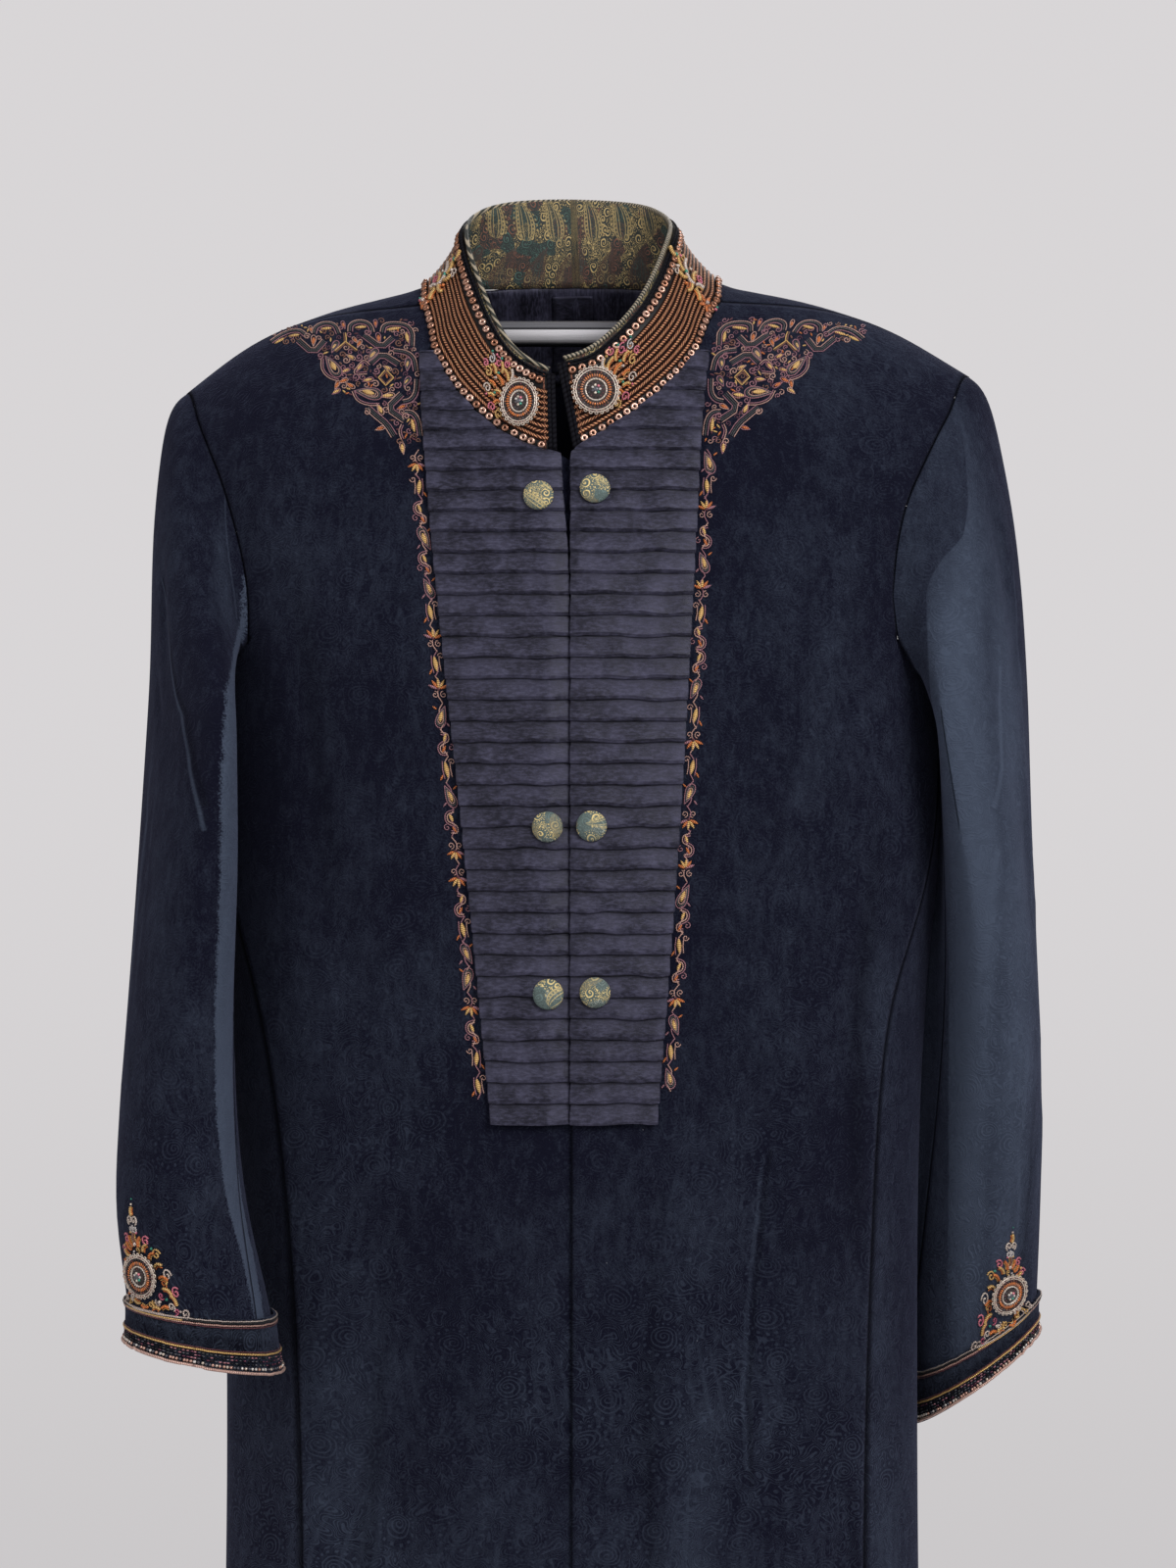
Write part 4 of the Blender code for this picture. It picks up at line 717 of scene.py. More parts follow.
def thread_material(name, roughness=0.42, metallic=0.18, pitch=0.0011, shine=0.5):
    """Twisted silk or gold thread in each cord's own colour, with painted shade in the grooves of its twist.
    """
    material, tree, shader = start_material(name, roughness, metallic, Sheen_Weight=0.2 * shine,
                                            Specular_IOR_Level=shine)
    own = own_colour(tree)
    strand = grouped("Twisted strands", Vector=cloth_map(tree), Pitch=pitch)["Strand"]
    wear = ramp(noise(place_of(tree), 300.0, 3.0), 0.5, 0.75) * 0.35
    # Painted shade: the cord's colour darkened in the grooves between its strands; random wear also blends
    # towards it
    dark = blend(1.0, own, (0.40, 0.34, 0.40), "MULTIPLY")
    fill(shader, {"Base Color": blend(wear, blend(ramp(strand, 0.1, 0.6), dark, own), dark)})
    bump(shader, strand, 0.0003, 0.7)
    return material


def bead_material(name, roughness, metallic, coat=0.0):
    """Glass or metal beads in each bead's own colour, a little worn."""
    material, tree, shader = start_material(name, roughness, metallic, Coat_Weight=coat, Coat_Roughness=0.08)
    wear = noise(place_of(tree), 420.0, 2.0)
    fill(shader, {"Base Color": blend(ramp(wear, 0.55, 0.75, 0.0, 0.5), own_colour(tree),
                                      (0.10, 0.05, 0.035)),
                  "Roughness": ramp(wear, 0.45, 0.8, roughness, roughness + 0.3)})
    return material


# ---------------------------------------------------------------- small things joined into one mesh

PALETTE = {
    "mauve": (0.430, 0.200, 0.235), "dusk": (0.660, 0.400, 0.320), "wine": (0.165, 0.045, 0.060),
    "brown": (0.290, 0.130, 0.085), "gold": (0.900, 0.570, 0.190), "slate": (0.070, 0.078, 0.082),
    "plum": (0.150, 0.050, 0.085), "orange": (0.720, 0.210, 0.050), "pale": (0.700, 0.590, 0.500),
    "pink": (0.640, 0.150, 0.240), "teal": (0.060, 0.400, 0.280), "silver": (0.760, 0.720, 0.680),
    "copper": (0.560, 0.230, 0.120), "rose": (0.860, 0.570, 0.460), "black": (0.010, 0.010, 0.014),
    "smoke": (0.110, 0.110, 0.130), "amber": (0.880, 0.560, 0.190), "ember": (0.880, 0.260, 0.060),
    "rosy": (0.880, 0.250, 0.330), "cream": (0.900, 0.780, 0.660),
}


def shape_of(add, **settings):
    """Points and faces of a primitive, which is then removed."""
    add(**settings)
    mesh = bpy.context.object.data
    shape = points_of(bpy.context.object), [tuple(face.vertices) for face in mesh.polygons]
    bpy.data.objects.remove(bpy.context.object)
    bpy.data.meshes.remove(mesh)
    return shape


def ball_shape():
    """Small round bead, one unit wide."""
    return shape_of(bpy.ops.mesh.primitive_ico_sphere_add, subdivisions=1, radius=0.5)


def leaf_shape():
    """Padded leaf, pointed at both ends, one unit long, wide and high."""
    points, faces = shape_of(bpy.ops.mesh.primitive_uv_sphere_add, segments=8, ring_count=6, radius=0.5)
    taper = 1.0 - 0.5 * (2.0 * np.abs(points[:, 2])) ** 1.6
    return np.stack([points[:, 2], points[:, 0] * taper, points[:, 1]], axis=1), faces


class Batch:
    """Copies and cords joined into one mesh, sized in mm, each in a colour of the palette or its own."""

    def __init__(self):
        self.points, self.faces, self.colours, self.charts = [], [], [], []
        self.count = 0

    def add(self, points, faces, chart, colour):
        """Joins one more closed shape."""
        self.points.append(points)
        self.faces += [tuple(i + self.count for i in face) for face in faces]
        self.charts.append(chart)
        self.colours.append(np.tile(rgb(PALETTE.get(colour, colour)), (len(points), 1)))
        self.count += len(points)

    def stamp(self, shape, spot, along, size, colour, lift=0.0):
        """Joins a copy of a shape at a point with a normal, its X along a direction, its Z outwards."""
        up = spot[1].normalized()
        across = up.cross(along).normalized()
        matrix = np.stack([across.cross(up), across, up], axis=1) * (np.array(size) * MM)
        place = spot[0] + spot[1] * (lift * MM)
        self.add(shape[0] @ matrix.T + np.array(place), shape[1],
                 shape[0][:, :2] * np.array(size[:2]) * MM, colour)

    def cord(self, spots, radius, colour, lift=0.0, sides=5, closed=False):
        """Joins a round cord along points with normals, raised by a lift."""
        count = len(spots)
        if count < 2:
            return
        line = [point + normal * (lift * MM) for point, normal in spots]
        rings, chart, gone = [], [], 0.0
        for i, point in enumerate(line):
            ahead = line[(i + 1) % count if closed else min(i + 1, count - 1)]
            behind = line[i - 1 if closed else max(i - 1, 0)]
            side = (ahead - behind).cross(spots[i][1]).normalized()
            up = spots[i][1].normalized()
            gone += (point - line[i - 1]).length if i else 0.0
            for k in range(sides):
                turn = math.tau * k / sides - math.pi / 2
                rings.append(point + side * (math.cos(turn) * radius * MM)
                             + up * (math.sin(turn) * radius * MM * CORD_HEIGHT))
                chart.append((gone, k / sides))
        faces = []
        for i in range(count if closed else count - 1):
            a, b = i * sides, (i + 1) % count * sides
            faces += [(a + k, b + k, b + (k + 1) % sides, a + (k + 1) % sides) for k in range(sides)]
        if not closed:
            faces += [tuple(range(sides)), tuple(range((count - 1) * sides, count * sides))[::-1]]
        self.add(np.array(rings), faces, np.array(chart), colour)

    def finish(self, name, material, slot="beads"):
        """The joined mesh as one piece of the coat."""
        obj = built(name, np.vstack(self.points).tolist(), self.faces, material)
        layer = obj.data.attributes.new("thread", "FLOAT_COLOR", "POINT")
        layer.data.foreach_set("color", np.vstack(self.colours).astype(np.float32).ravel())
        paint_uv(obj, np.vstack(self.charts))
        pick(obj)
        bpy.ops.object.shade_smooth()
        finish_piece(obj, slot)


class Pen:
    """Draws cords, leaves and beads on a surface from places on its own flat chart, in millimetres."""

    def __init__(self, batch, ground, mirror=1.0):
        self.batch, self.ground, self.mirror, self.used = batch, ground, mirror, []
        self.leaf_form, self.bead_form = leaf_shape(), ball_shape()

    def spot(self, a, b):
        """Point and normal at a place on the chart."""
        return self.ground(a * self.mirror, b)

    def line(self, points, colour, radius=0.40, step=1.0, closed=False):
        """Cord through chart points, evened out to short steps."""
        points = [Vector(point) for point in points]
        if closed:
            points.append(points[0])
        even = [points[0]]
        for a, b in zip(points[:-1], points[1:]):
            parts = max(1, round((b - a).length / step))
            even += [a.lerp(b, k / parts) for k in range(1, parts + 1)]
        if closed:
            even.pop()
        self.used += [(p.x, p.y) for p in even[::3]]
        spots = [spot for spot in (self.spot(p.x, p.y) for p in even) if spot]
        self.batch.cord(spots, radius, colour, radius * 0.6, closed=closed)

    def leaf(self, a, b, angle, length, width, colour, high=1.1):
        """Padded leaf at a chart place, its length at an angle."""
        spot = self.spot(a, b)
        turn = math.radians(angle)
        ahead = self.spot(a + math.cos(turn), b + math.sin(turn))
        self.used.append((a, b))
        if spot and ahead and (ahead[0] - spot[0]).length > 1e-6:
            self.batch.stamp(self.leaf_form, spot, ahead[0] - spot[0], (length, width, high), colour, 0.15)

    def bead(self, a, b, size, colour):
        """Round bead at a chart place."""
        spot = self.spot(a, b)
        self.used.append((a, b))
        if spot:
            self.batch.stamp(self.bead_form, spot, Vector((1, 0.01, 0.02)), (size,) * 3, colour, size * 0.35)

    def free(self, a, b, room):
        """True if nothing has been drawn near a chart place."""
        return all((a - p) ** 2 + (b - q) ** 2 > room * room for p, q in self.used)


def curl(a, b, radius, angle, turns=1.3, hand=1):
    """Spiral that winds in to a chart place from a radius away."""
    count = max(8, round(turns * 12))
    made = []
    for k in range(count + 1):
        t = k / count
        turn = math.radians(angle) + hand * t * turns * math.tau
        reach = radius * (1.0 - t) ** 0.8 + 0.25
        made.append((a + reach * math.cos(turn), b + reach * math.sin(turn)))
    return made


def rounded(points, passes=2):
    """Line with its corners cut to soft bends."""
    for _ in range(passes):
        made = [points[0]]
        for p, q in zip(points[:-1], points[1:]):
            made.append((mix(p[0], q[0], 0.25), mix(p[1], q[1], 0.25)))
            made.append((mix(p[0], q[0], 0.75), mix(p[1], q[1], 0.75)))
        points = made + [points[-1]]
    return points


def beside(points, away):
    """Line moved sideways by a distance."""
    made = []
    for i, (a, b) in enumerate(points):
        p, q = points[max(i - 1, 0)], points[min(i + 1, len(points) - 1)]
        run, rise = q[0] - p[0], q[1] - p[1]
        size = math.hypot(run, rise) or 1.0
        made.append((a - rise / size * away, b + run / size * away))
    return made


def draw_flower(pen, a, b, size, turn, colour):
    """Small flower of five padded petals round a bead."""
    for k in range(5):
        angle = turn + 72 * k
        reach = size * 0.62
        pen.leaf(a + reach * math.cos(math.radians(angle)), b + reach * math.sin(math.radians(angle)), angle,
                 size * 1.15, size * 0.52, colour)
    pen.bead(a, b, size * 0.55, "pale")


def drop(a, b, long, wide, angle, bend=0.35, count=26):
    """Outline of a leaf with a round end and a bent tip, the tip towards an angle."""
    turn = math.radians(angle)
    made = []
    for k in range(count):
        t = math.tau * k / count
        u = math.cos(t)
        v = wide * (math.sin(t) * math.sin(t / 2) ** 1.3 + bend * (u + 1) ** 2 / 4)
        made.append((a + u * long * math.cos(turn) - v * math.sin(turn),
                     b + u * long * math.sin(turn) + v * math.cos(turn)))
    return made


def draw_drop(pen, a, b, long, angle, hand=1):
    """Three nested cords round a padded leaf."""
    for less, colour, radius in ((0.0, "mauve", 0.36), (1.35, "slate", 0.44), (2.5, "dusk", 0.34)):
        if long - less > 1.6:
            pen.line(drop(a, b, long - less, (long * 0.60 - less * 0.8) * hand, angle), colour, radius,
                     closed=True)
    pen.leaf(a, b, angle, long * 1.0, long * 0.42, "gold", 1.7)


# Cords that run side by side: distance off the middle, colour, radius (mm)
CORDS = {
    "bracket": ((-1.5, "dusk", 0.36), (-0.1, "slate", 0.48), (1.4, "mauve", 0.36)),
    "chevron": ((-1.7, "dusk", 0.34), (-0.35, "slate", 0.40), (0.8, "slate", 0.36), (2.0, "mauve", 0.34)),
    "pair": ((-0.65, "dusk", 0.36), (0.65, "mauve", 0.36)),
    "gilt": ((-0.6, "gold", 0.42), (0.6, "brown", 0.36)),
}
# Bands of the shoulder corners, by their cords: places out from the inner corner and down (mm)
SHOULDER_BANDS = {
    "bracket": (((4.2, 19.5), (3.4, 8.0), (8.5, 4.0), (19.5, 3.8), (21.5, 9.5)),
                ((2.4, 36), (3.2, 27.5), (7.5, 23.6), (15, 22.3)),
                ((1.6, 41.5), (2.3, 50), (5.8, 55), (10.8, 56)),
                ((1.8, 77), (2.4, 67.5), (5.4, 62.6), (10, 62.4)),
                ((28, 9), (28.4, 3.4), (34.5, 0.8), (40.6, 3), (41.3, 8)),
                ((48.8, 9), (50.3, 2.6), (56.5, 0.8), (62.5, 3.2), (64, 8)),
                ((69.5, 9), (73, 5), (79, 4.6), (86, 7.2), (92, 11.5))),
    "chevron": (((15.5, 13.2), (22.8, 20), (33.2, 10.8)), ((12.6, 31), (22.6, 23.6), (29.5, 30)),
                ((57.8, 13.5), (64.8, 22.0), (74.2, 12.2)), ((11.5, 50.5), (20.8, 59.6), (10.5, 67.5)),
                ((32.5, 59), (27, 64.5), (21.5, 69.5), (17.5, 77))),
    "pair": (((12, 70), (14, 74), (12.5, 79)), ((59.2, 26), (59.6, 33), (55.5, 38.5), (49.5, 40.8)),
             ((40.8, 48), (38.6, 54), (32, 57), (25, 57)),
             ((30.5, 31.5), (33.5, 28), (36.2, 31), (40.6, 37), (32, 36.5))),
    "gilt": (((38, 21.5), (44.8, 15.4), (51, 21.5)), ((44.9, 14.8), (45, 8.8)),
             ((20.4, 35.4), (24.4, 39.8), (20.8, 44.4), (16.4, 40), (20.4, 35.4))),
}
# Motifs of the shoulder corners, by kind: distance out and down, angle, size
SHOULDER_MOTIFS = {
    "drop": ((52.4, 31, -62, 8.2), (31.5, 49, -12, 8.6), (28.4, 24.6, 52, 5.2), (7.2, 31.5, 80, 4.4),
             (8.2, 42.8, 60, 3.8), (51.8, 18, 60, 4.4)),
    "bar": ((6.8, 13.4, 93, 9.5), (14.4, 7.2, 2, 9.5), (5.6, 70.6, 95, 9.5), (77, 8.4, 8, 8.0),
            (86.4, 11.4, 28, 7.5), (34.5, 5.2, 6, 7.5), (56, 5.0, 8, 7.5)),
    "fire": ((25, 3.0, 90, 4.6), (45, 3.0, 90, 4.8), (65.8, 4.8, 90, 4.6), (24.3, 13.2, 90, 6.0),
             (64.8, 13.2, 90, 6.4), (36.4, 16.6, 60, 4.8), (38.8, 14.2, 130, 4.2), (12, 59, 20, 5.2),
             (42.4, 44.2, -30, 5.2), (46.6, 41.2, 25, 5.2), (50.6, 43.8, 70, 5.0), (25.6, 72, 12, 4.8)),
    "leaf": ((36.4, 32.4, 50, 5.2), (41.6, 25.4, -35, 5.0), (51.2, 48, 30, 4.8), (19.8, 51.4, 8, 6.8),
             (31.5, 41, 5, 5.6), (19.4, 33.4, -25, 4.6), (24.8, 60, -70, 6.2), (13, 84.5, 92, 6.0),
             (45, 34.5, 20, 4.6)),
    "curl": ((30.8, 9, 200, 2.1), (12, 17, 150, 2.1), (36.6, 26, 40, 2.3), (15, 36.2, 120, 2.2),
             (26.2, 35.4, 30, 2.1), (27, 43.8, 320, 2.2), (13.8, 44.8, 220, 2.2), (32.8, 61.5, 300, 2.0),
             (9.4, 64.8, 60, 2.2), (14.5, 80.5, 90, 2.1), (60.5, 24, 60, 2.0), (39, 39, 80, 2.2),
             (9, 26.5, 300, 2.0), (44.5, 27.6, 200, 2.0), (68.6, 9.8, 200, 1.9), (82, 12.6, 330, 1.9),
             (46.8, 23.6, 100, 1.9)),
}
# Outer limit of the corner: distance out, distance down
SHOULDER_LIMIT = ((0, 81), (12, 80), (20, 76), (30, 63), (40, 54),
                  (50, 47), (58, 34), (62, 25), (76, 15), (93, 11))


def draw_shoulder(pen, seed):
    """Corner of scrolled cords, leaves and curls between the collar, the bib and the shoulder's slope."""
    draws = random.Random(seed)
    for kind, bands in SHOULDER_BANDS.items():
        for points in bands:
            bend = rounded(points, {"bracket": 2, "pair": 2, "chevron": 1, "gilt": 0}[kind])
            for away, colour, radius in CORDS[kind]:
                pen.line(beside(bend, away), colour, radius)
    for kind, a, b, angle, size in ((kind, *row) for kind, rows in SHOULDER_MOTIFS.items() for row in rows):
        angle += draws.uniform(-8, 8)
        if kind == "drop":
            draw_drop(pen, a, b, size, angle)
        elif kind == "curl":
            pen.line(curl(a, b, size, angle, 1.3, draws.choice((-1, 1))),
                     draws.choice(("mauve", "dusk", "brown")))
        elif kind == "bar":
            pen.leaf(a, b, angle, size, 2.5, "gold", 1.9)
        else:
            colour = "gold" if kind == "leaf" else "orange"
            pen.leaf(a, b, angle, size, size * 0.42, colour, 1.6)
            pen.line(drop(a, b, size * 0.62, size * 0.34, angle, 0.2, 18),
                     draws.choice(("mauve", "dusk")), 0.32, closed=True)
    for _ in range(3600):
        a, b = draws.uniform(1, 92), draws.uniform(1, 81)
        if b > read(SHOULDER_LIMIT, a, 1) or not pen.free(a, b, 1.75):
            continue
        angle = draws.uniform(0, 360)
        if draws.random() < 0.55:
            pen.line(curl(a, b, draws.uniform(1.3, 1.9), angle, 1.1, draws.choice((-1, 1))),
                     draws.choice(("mauve", "plum", "dusk", "brown", "mauve")), 0.32)
        else:
            pen.leaf(a, b, angle, draws.uniform(2.4, 4.0), 1.2,
                     draws.choice(("gold", "orange", "wine", "brown")))


def draw_vine(pen, start, end, pitch, seed):
    """Vine of fans, bent leaves, scrolls and bars in changing order, down a chart between two heights."""
    draws = random.Random(seed)
    hand, at, kinds = 1, start, []
    while at > end + pitch * 0.3:
        if not kinds:
            kinds = ["fan", "drop", "scroll", "bar"]
            draws.shuffle(kinds)
        kind, size = kinds.pop(), draws.uniform(0.9, 1.1)
        up = draws.choice((-1, 1))
        stem = [(-1.6 * hand, at + pitch * 0.52), (2.0 * hand, at + pitch * 0.2),
                (-1.8 * hand, at - pitch * 0.15), (1.4 * hand, at - pitch * 0.5)]
        pen.line(rounded(stem), draws.choice(("mauve", "dusk")), 0.40)
        if kind == "fan":
            for turn, colour in ((-66, "mauve"), (-34, "orange"), (0, "gold"), (34, "gold"), (66, "orange")):
                angle = math.radians(90 * up + turn)
                pen.leaf(3.4 * size * math.cos(angle), at + 3.4 * size * math.sin(angle),
                         math.degrees(angle), 5.8 * size, 1.9, colour, 1.6)
            pen.bead(0, at, 1.9, "wine")
            for way in (-1, 1):
                pen.line(curl(2.5 * way, at - 3.0 * up, 1.8, 90 * up, 1.2, way * up), "dusk", 0.34)
        elif kind == "drop":
            draw_drop(pen, 0.4 * hand, at, 6.8 * size, 90 * up + 14 * hand, hand)
            pen.leaf(3.6 * hand, at + 5.2, 40 * hand, 3.4, 1.2, "orange")
            pen.leaf(-3.4 * hand, at - 4.8, 50 * hand, 3.4, 1.2, "mauve")
        elif kind == "scroll":
            bend = [(-1.4 * hand, at + 6.4), (2.9 * hand, at + 5.2), (3.0 * hand, at + 1.0),
                    (-0.4 * hand, at - 0.4), (-3.0 * hand, at - 2.2), (-2.4 * hand, at - 6.0),
                    (1.4 * hand, at - 5.8)]
            pen.line(rounded(bend), "dusk", 0.44)
            pen.line(beside(rounded(bend), 1.35), "mauve", 0.38)
            pen.leaf(0.6 * hand, at + 3.0, 70 * hand, 5.4, 2.1, "gold", 1.7)
            pen.leaf(-0.6 * hand, at - 3.6, 60 * hand, 4.6, 1.8, "orange", 1.5)
            pen.line(curl(3.6 * hand, at - 2.6, 1.7, 90, 1.1, -hand), "mauve", 0.34)
        else:
            pen.leaf(0.3 * hand, at, 90 - 8 * hand, 9.6 * size, 3.1, "gold", 2.0)
            pen.line([(2.4 * hand, at + 5.0), (2.7 * hand, at), (1.9 * hand, at - 5.4)], "mauve", 0.36)
            pen.line([(-2.1 * hand, at + 4.6), (-2.0 * hand, at), (-2.6 * hand, at - 4.4)], "dusk", 0.36)
            pen.line(curl(-3.2 * hand, at + 4.6, 1.7, 0, 1.1, hand), "dusk", 0.34)
            pen.leaf(3.6 * hand, at - 4.6, -60 * hand, 4.0, 1.3, "orange")
        at -= pitch * draws.uniform(0.90, 1.04)
        hand = -hand


# ---------------------------------------------------------------- collar surface

COLLAR = np.array(COLLAR_COLUMNS) * MM
COLLAR_RUN = np.concatenate([[0.0], np.cumsum(np.linalg.norm(np.diff(COLLAR[:, :3], axis=0), axis=1))])


def collar_site(along, up, out=0.0):
    """Point and normal of the collar: along from 0 at its right end to 1 at its left end, up from 0 to 1."""
    def edge(run):
        index = int(np.clip(np.searchsorted(COLLAR_RUN, run) - 1, 0, len(COLLAR) - 2))
        t = (run - COLLAR_RUN[index]) / (COLLAR_RUN[index + 1] - COLLAR_RUN[index])
        rows = [COLLAR[int(np.clip(index + k, 0, len(COLLAR) - 1))] for k in (-1, 0, 1, 2)]
        return 0.5 * (2 * rows[1] + (rows[2] - rows[0]) * t
                      + (2 * rows[0] - 5 * rows[1] + 4 * rows[2] - rows[3]) * t * t
                      + (3 * rows[1] - rows[0] - 3 * rows[2] + rows[3]) * t ** 3)

    run = along * COLLAR_RUN[-1]
    here, near = edge(run), edge(min(run + MM, COLLAR_RUN[-1]))
    if run + MM > COLLAR_RUN[-1]:
        here, near = edge(run - MM), here
        here, near = near, 2 * near - here
    base, top = Vector(here[:3]), Vector(here[3:])
    ahead = mix(Vector(near[:3]) - base, Vector(near[3:]) - top, up)
    normal = ahead.cross(top - base).normalized()
    away = base - COLLAR_MIDDLE
    if normal.dot(Vector((away.x, away.y, 0.0))) < 0:
        normal = -normal
    front = abs(math.degrees(math.atan2(base.x, -(base.y + 0.015) * 1.2)))
    swell = mix(COLLAR_BULGE, -COLLAR_HOLLOW, smooth(35, 85, front)) * 4.0 * up * (1.0 - up)
    return mix(base, top, up) + normal * (swell + out), normal


def collar_nearest(point, flat=False):
    """Share along and up of the collar's place nearest a point; flat looks straight from the front."""
    best = None
    for i in range(201):
        for k in range(1, 20):
            here, normal = collar_site(i / 200, k / 20)
            if flat and normal.y > 0.2:
                continue
            gap = here - Vector(point)
            if flat:
                gap.y = 0.0
            if best is None or gap.length < best[0]:
                best = gap.length, i / 200, k / 20
    return best[1:]


def collar_pen(batch, along, up, hand):
    """Pen on a chart from a collar place: a runs round the collar (hand gives the way), b upwards."""
    def ground(a, b):
        at = along + hand * a * MM / COLLAR_RUN[-1]
        return collar_site(min(max(at, 0.0), 1.0), min(max(up + b * MM / COLLAR_HEIGHT, 0.0), 1.0), 0.0012)
    return Pen(batch, ground)


def collar_turn(points):
    """Angles of points round the collar's middle, from the front."""
    return np.arctan2(points[:, 0], -(points[:, 1] - COLLAR_MIDDLE.y))


def collar_grid(name, levels, columns, back, material):
    """Wall on the collar's form: levels give height and how far its face stands out, back the depth."""
    inner = [(mix(levels[0][0], levels[-1][0], share), back) for share in (1.0, 0.75, 0.5, 0.25, 0.0)]
    shares = np.arange(columns + 1) / columns
    points = [collar_site(along, up, out)[0] for up, out in levels + inner for along in shares]
    chart = [(along * COLLAR_RUN[-1], up * COLLAR_HEIGHT) for up, _ in levels + inner for along in shares]
    wide = columns + 1
    rows = [range(k * wide, (k + 1) * wide) for k in range(len(levels + inner))]
    faces = [(a[i], a[i + 1], b[i + 1], b[i])
             for a, b in zip(rows, rows[1:] + rows[:1]) for i in range(columns)]
    faces += [tuple(row[0] for row in rows)[::-1], tuple(row[-1] for row in rows)]
    obj = built(name, points, faces, material)
    paint_uv(obj, np.array(chart))
    edit(obj, (bpy.ops.mesh.normals_make_consistent, {"inside": False}))
    shade_smooth(obj, 60)
    return obj


# ---------------------------------------------------------------- settings a user would change


def colour_setting(name, description, default):
    """A colour that the user can change."""
    return FloatVectorProperty(name=name, description=description, subtype="COLOR", default=default,
                               min=0, max=1)


def length_setting(name, description, default, least=0.0):
    """A length that the user can change."""
    return FloatProperty(name=name, description=description, subtype="DISTANCE", unit="LENGTH",
                         default=default, min=least)


class VelvetSettings(bpy.types.PropertyGroup):
    """Velvet of the coat."""
    pile_colour: colour_setting("Pile", "Colour of the pile", (0.0058, 0.0062, 0.0150))
    # The brushed colour also carries the painted rim highlight and the painted crease highlights
    nap_colour: colour_setting("Brushed pile", "Colour where the pile is brushed up", (0.065, 0.083, 0.124))
    paisley_size: length_setting("Paisley", "Width of one paisley repeat", 0.046, 0.01)
    crease_depth: FloatProperty(name="Creases", description="Share of the creases' depth", default=1.0,
                                min=0, max=2)


class SatinSettings(bpy.types.PropertyGroup):
    """Satin of the bib and the neck lining."""
    satin_dark: colour_setting("Dark", "Satin in its weave's hollows", (0.010, 0.0095, 0.017))
    # The light colour also gives the painted sheen patches
    satin_light: colour_setting("Light", "Satin on its weave's floats", (0.074, 0.072, 0.120))
    tuck_wave: length_setting("Tuck wave", "How far the tucks wander", 0.0009)


class TrimSettings(bpy.types.PropertyGroup):
    """Braid, beads and cords."""
    bead_size: length_setting("Beads", "Outer diameter of the collar's beads", 0.0051, 0.001)
    base_beads: IntProperty(name="Lower row", description="Beads along the collar's base",
                            default=102, min=8)
    top_beads: IntProperty(name="Upper row", description="Beads along the collar's top", default=90, min=8)
    braid_height: length_setting("Braid", "How far each braid row stands out", 0.0011)
    vine_pitch: FloatProperty(name="Vine repeat", default=15.5, min=5,
                              description="Length of one scroll of the vines, in millimetres")


class StageSettings(bpy.types.PropertyGroup):
    """Floor, lights and camera."""
    backdrop: colour_setting("Backdrop", "Colour all round the coat", (0.69, 0.67, 0.68))
    ambient: FloatProperty(name="Ambient", default=0.5, min=0, max=1,
                           description="Share of the backdrop's light that falls on the coat")
    key_power: FloatProperty(name="Key light", description="Power of the large light",
                             default=42.0, min=0, unit="POWER")
    floor_height: length_setting("Floor", "Height of the floor", -1.32, -10.0)


# ---------------------------------------------------------------- operators, one for each piece or group

# Velvet panels: node, chart it is mapped by, flat width and length, flat area, what holds it up
VELVET_PIECES = (
    ("front_left", "body", 0.30, 1.11, 0.27, ("hanger_arm_left",)),
    ("front_right", "body", 0.30, 1.11, 0.27, ("hanger_arm_right",)),
    ("side_panel_left", "body", 0.20, 0.84, 0.13, ("velvet_front_left", "velvet_back")),
    ("side_panel_right", "body", 0.20, 0.84, 0.13, ("velvet_front_right", "velvet_back")),
    ("back", "body", 0.50, 1.12, 0.46, ("hanger_arm_left", "hanger_arm_right")),
    ("sleeve_top_left", "left", 0.22, 0.72, 0.13, ("velvet_front_left", "velvet_back")),
    ("sleeve_top_right", "right", 0.22, 0.70, 0.13, ("velvet_front_right", "velvet_back")),
    ("sleeve_under_left", "left", 0.14, 0.56, 0.06, ("velvet_side_panel_left",)),
    ("sleeve_under_right", "right", 0.14, 0.54, 0.06, ("velvet_side_panel_right",)),
)

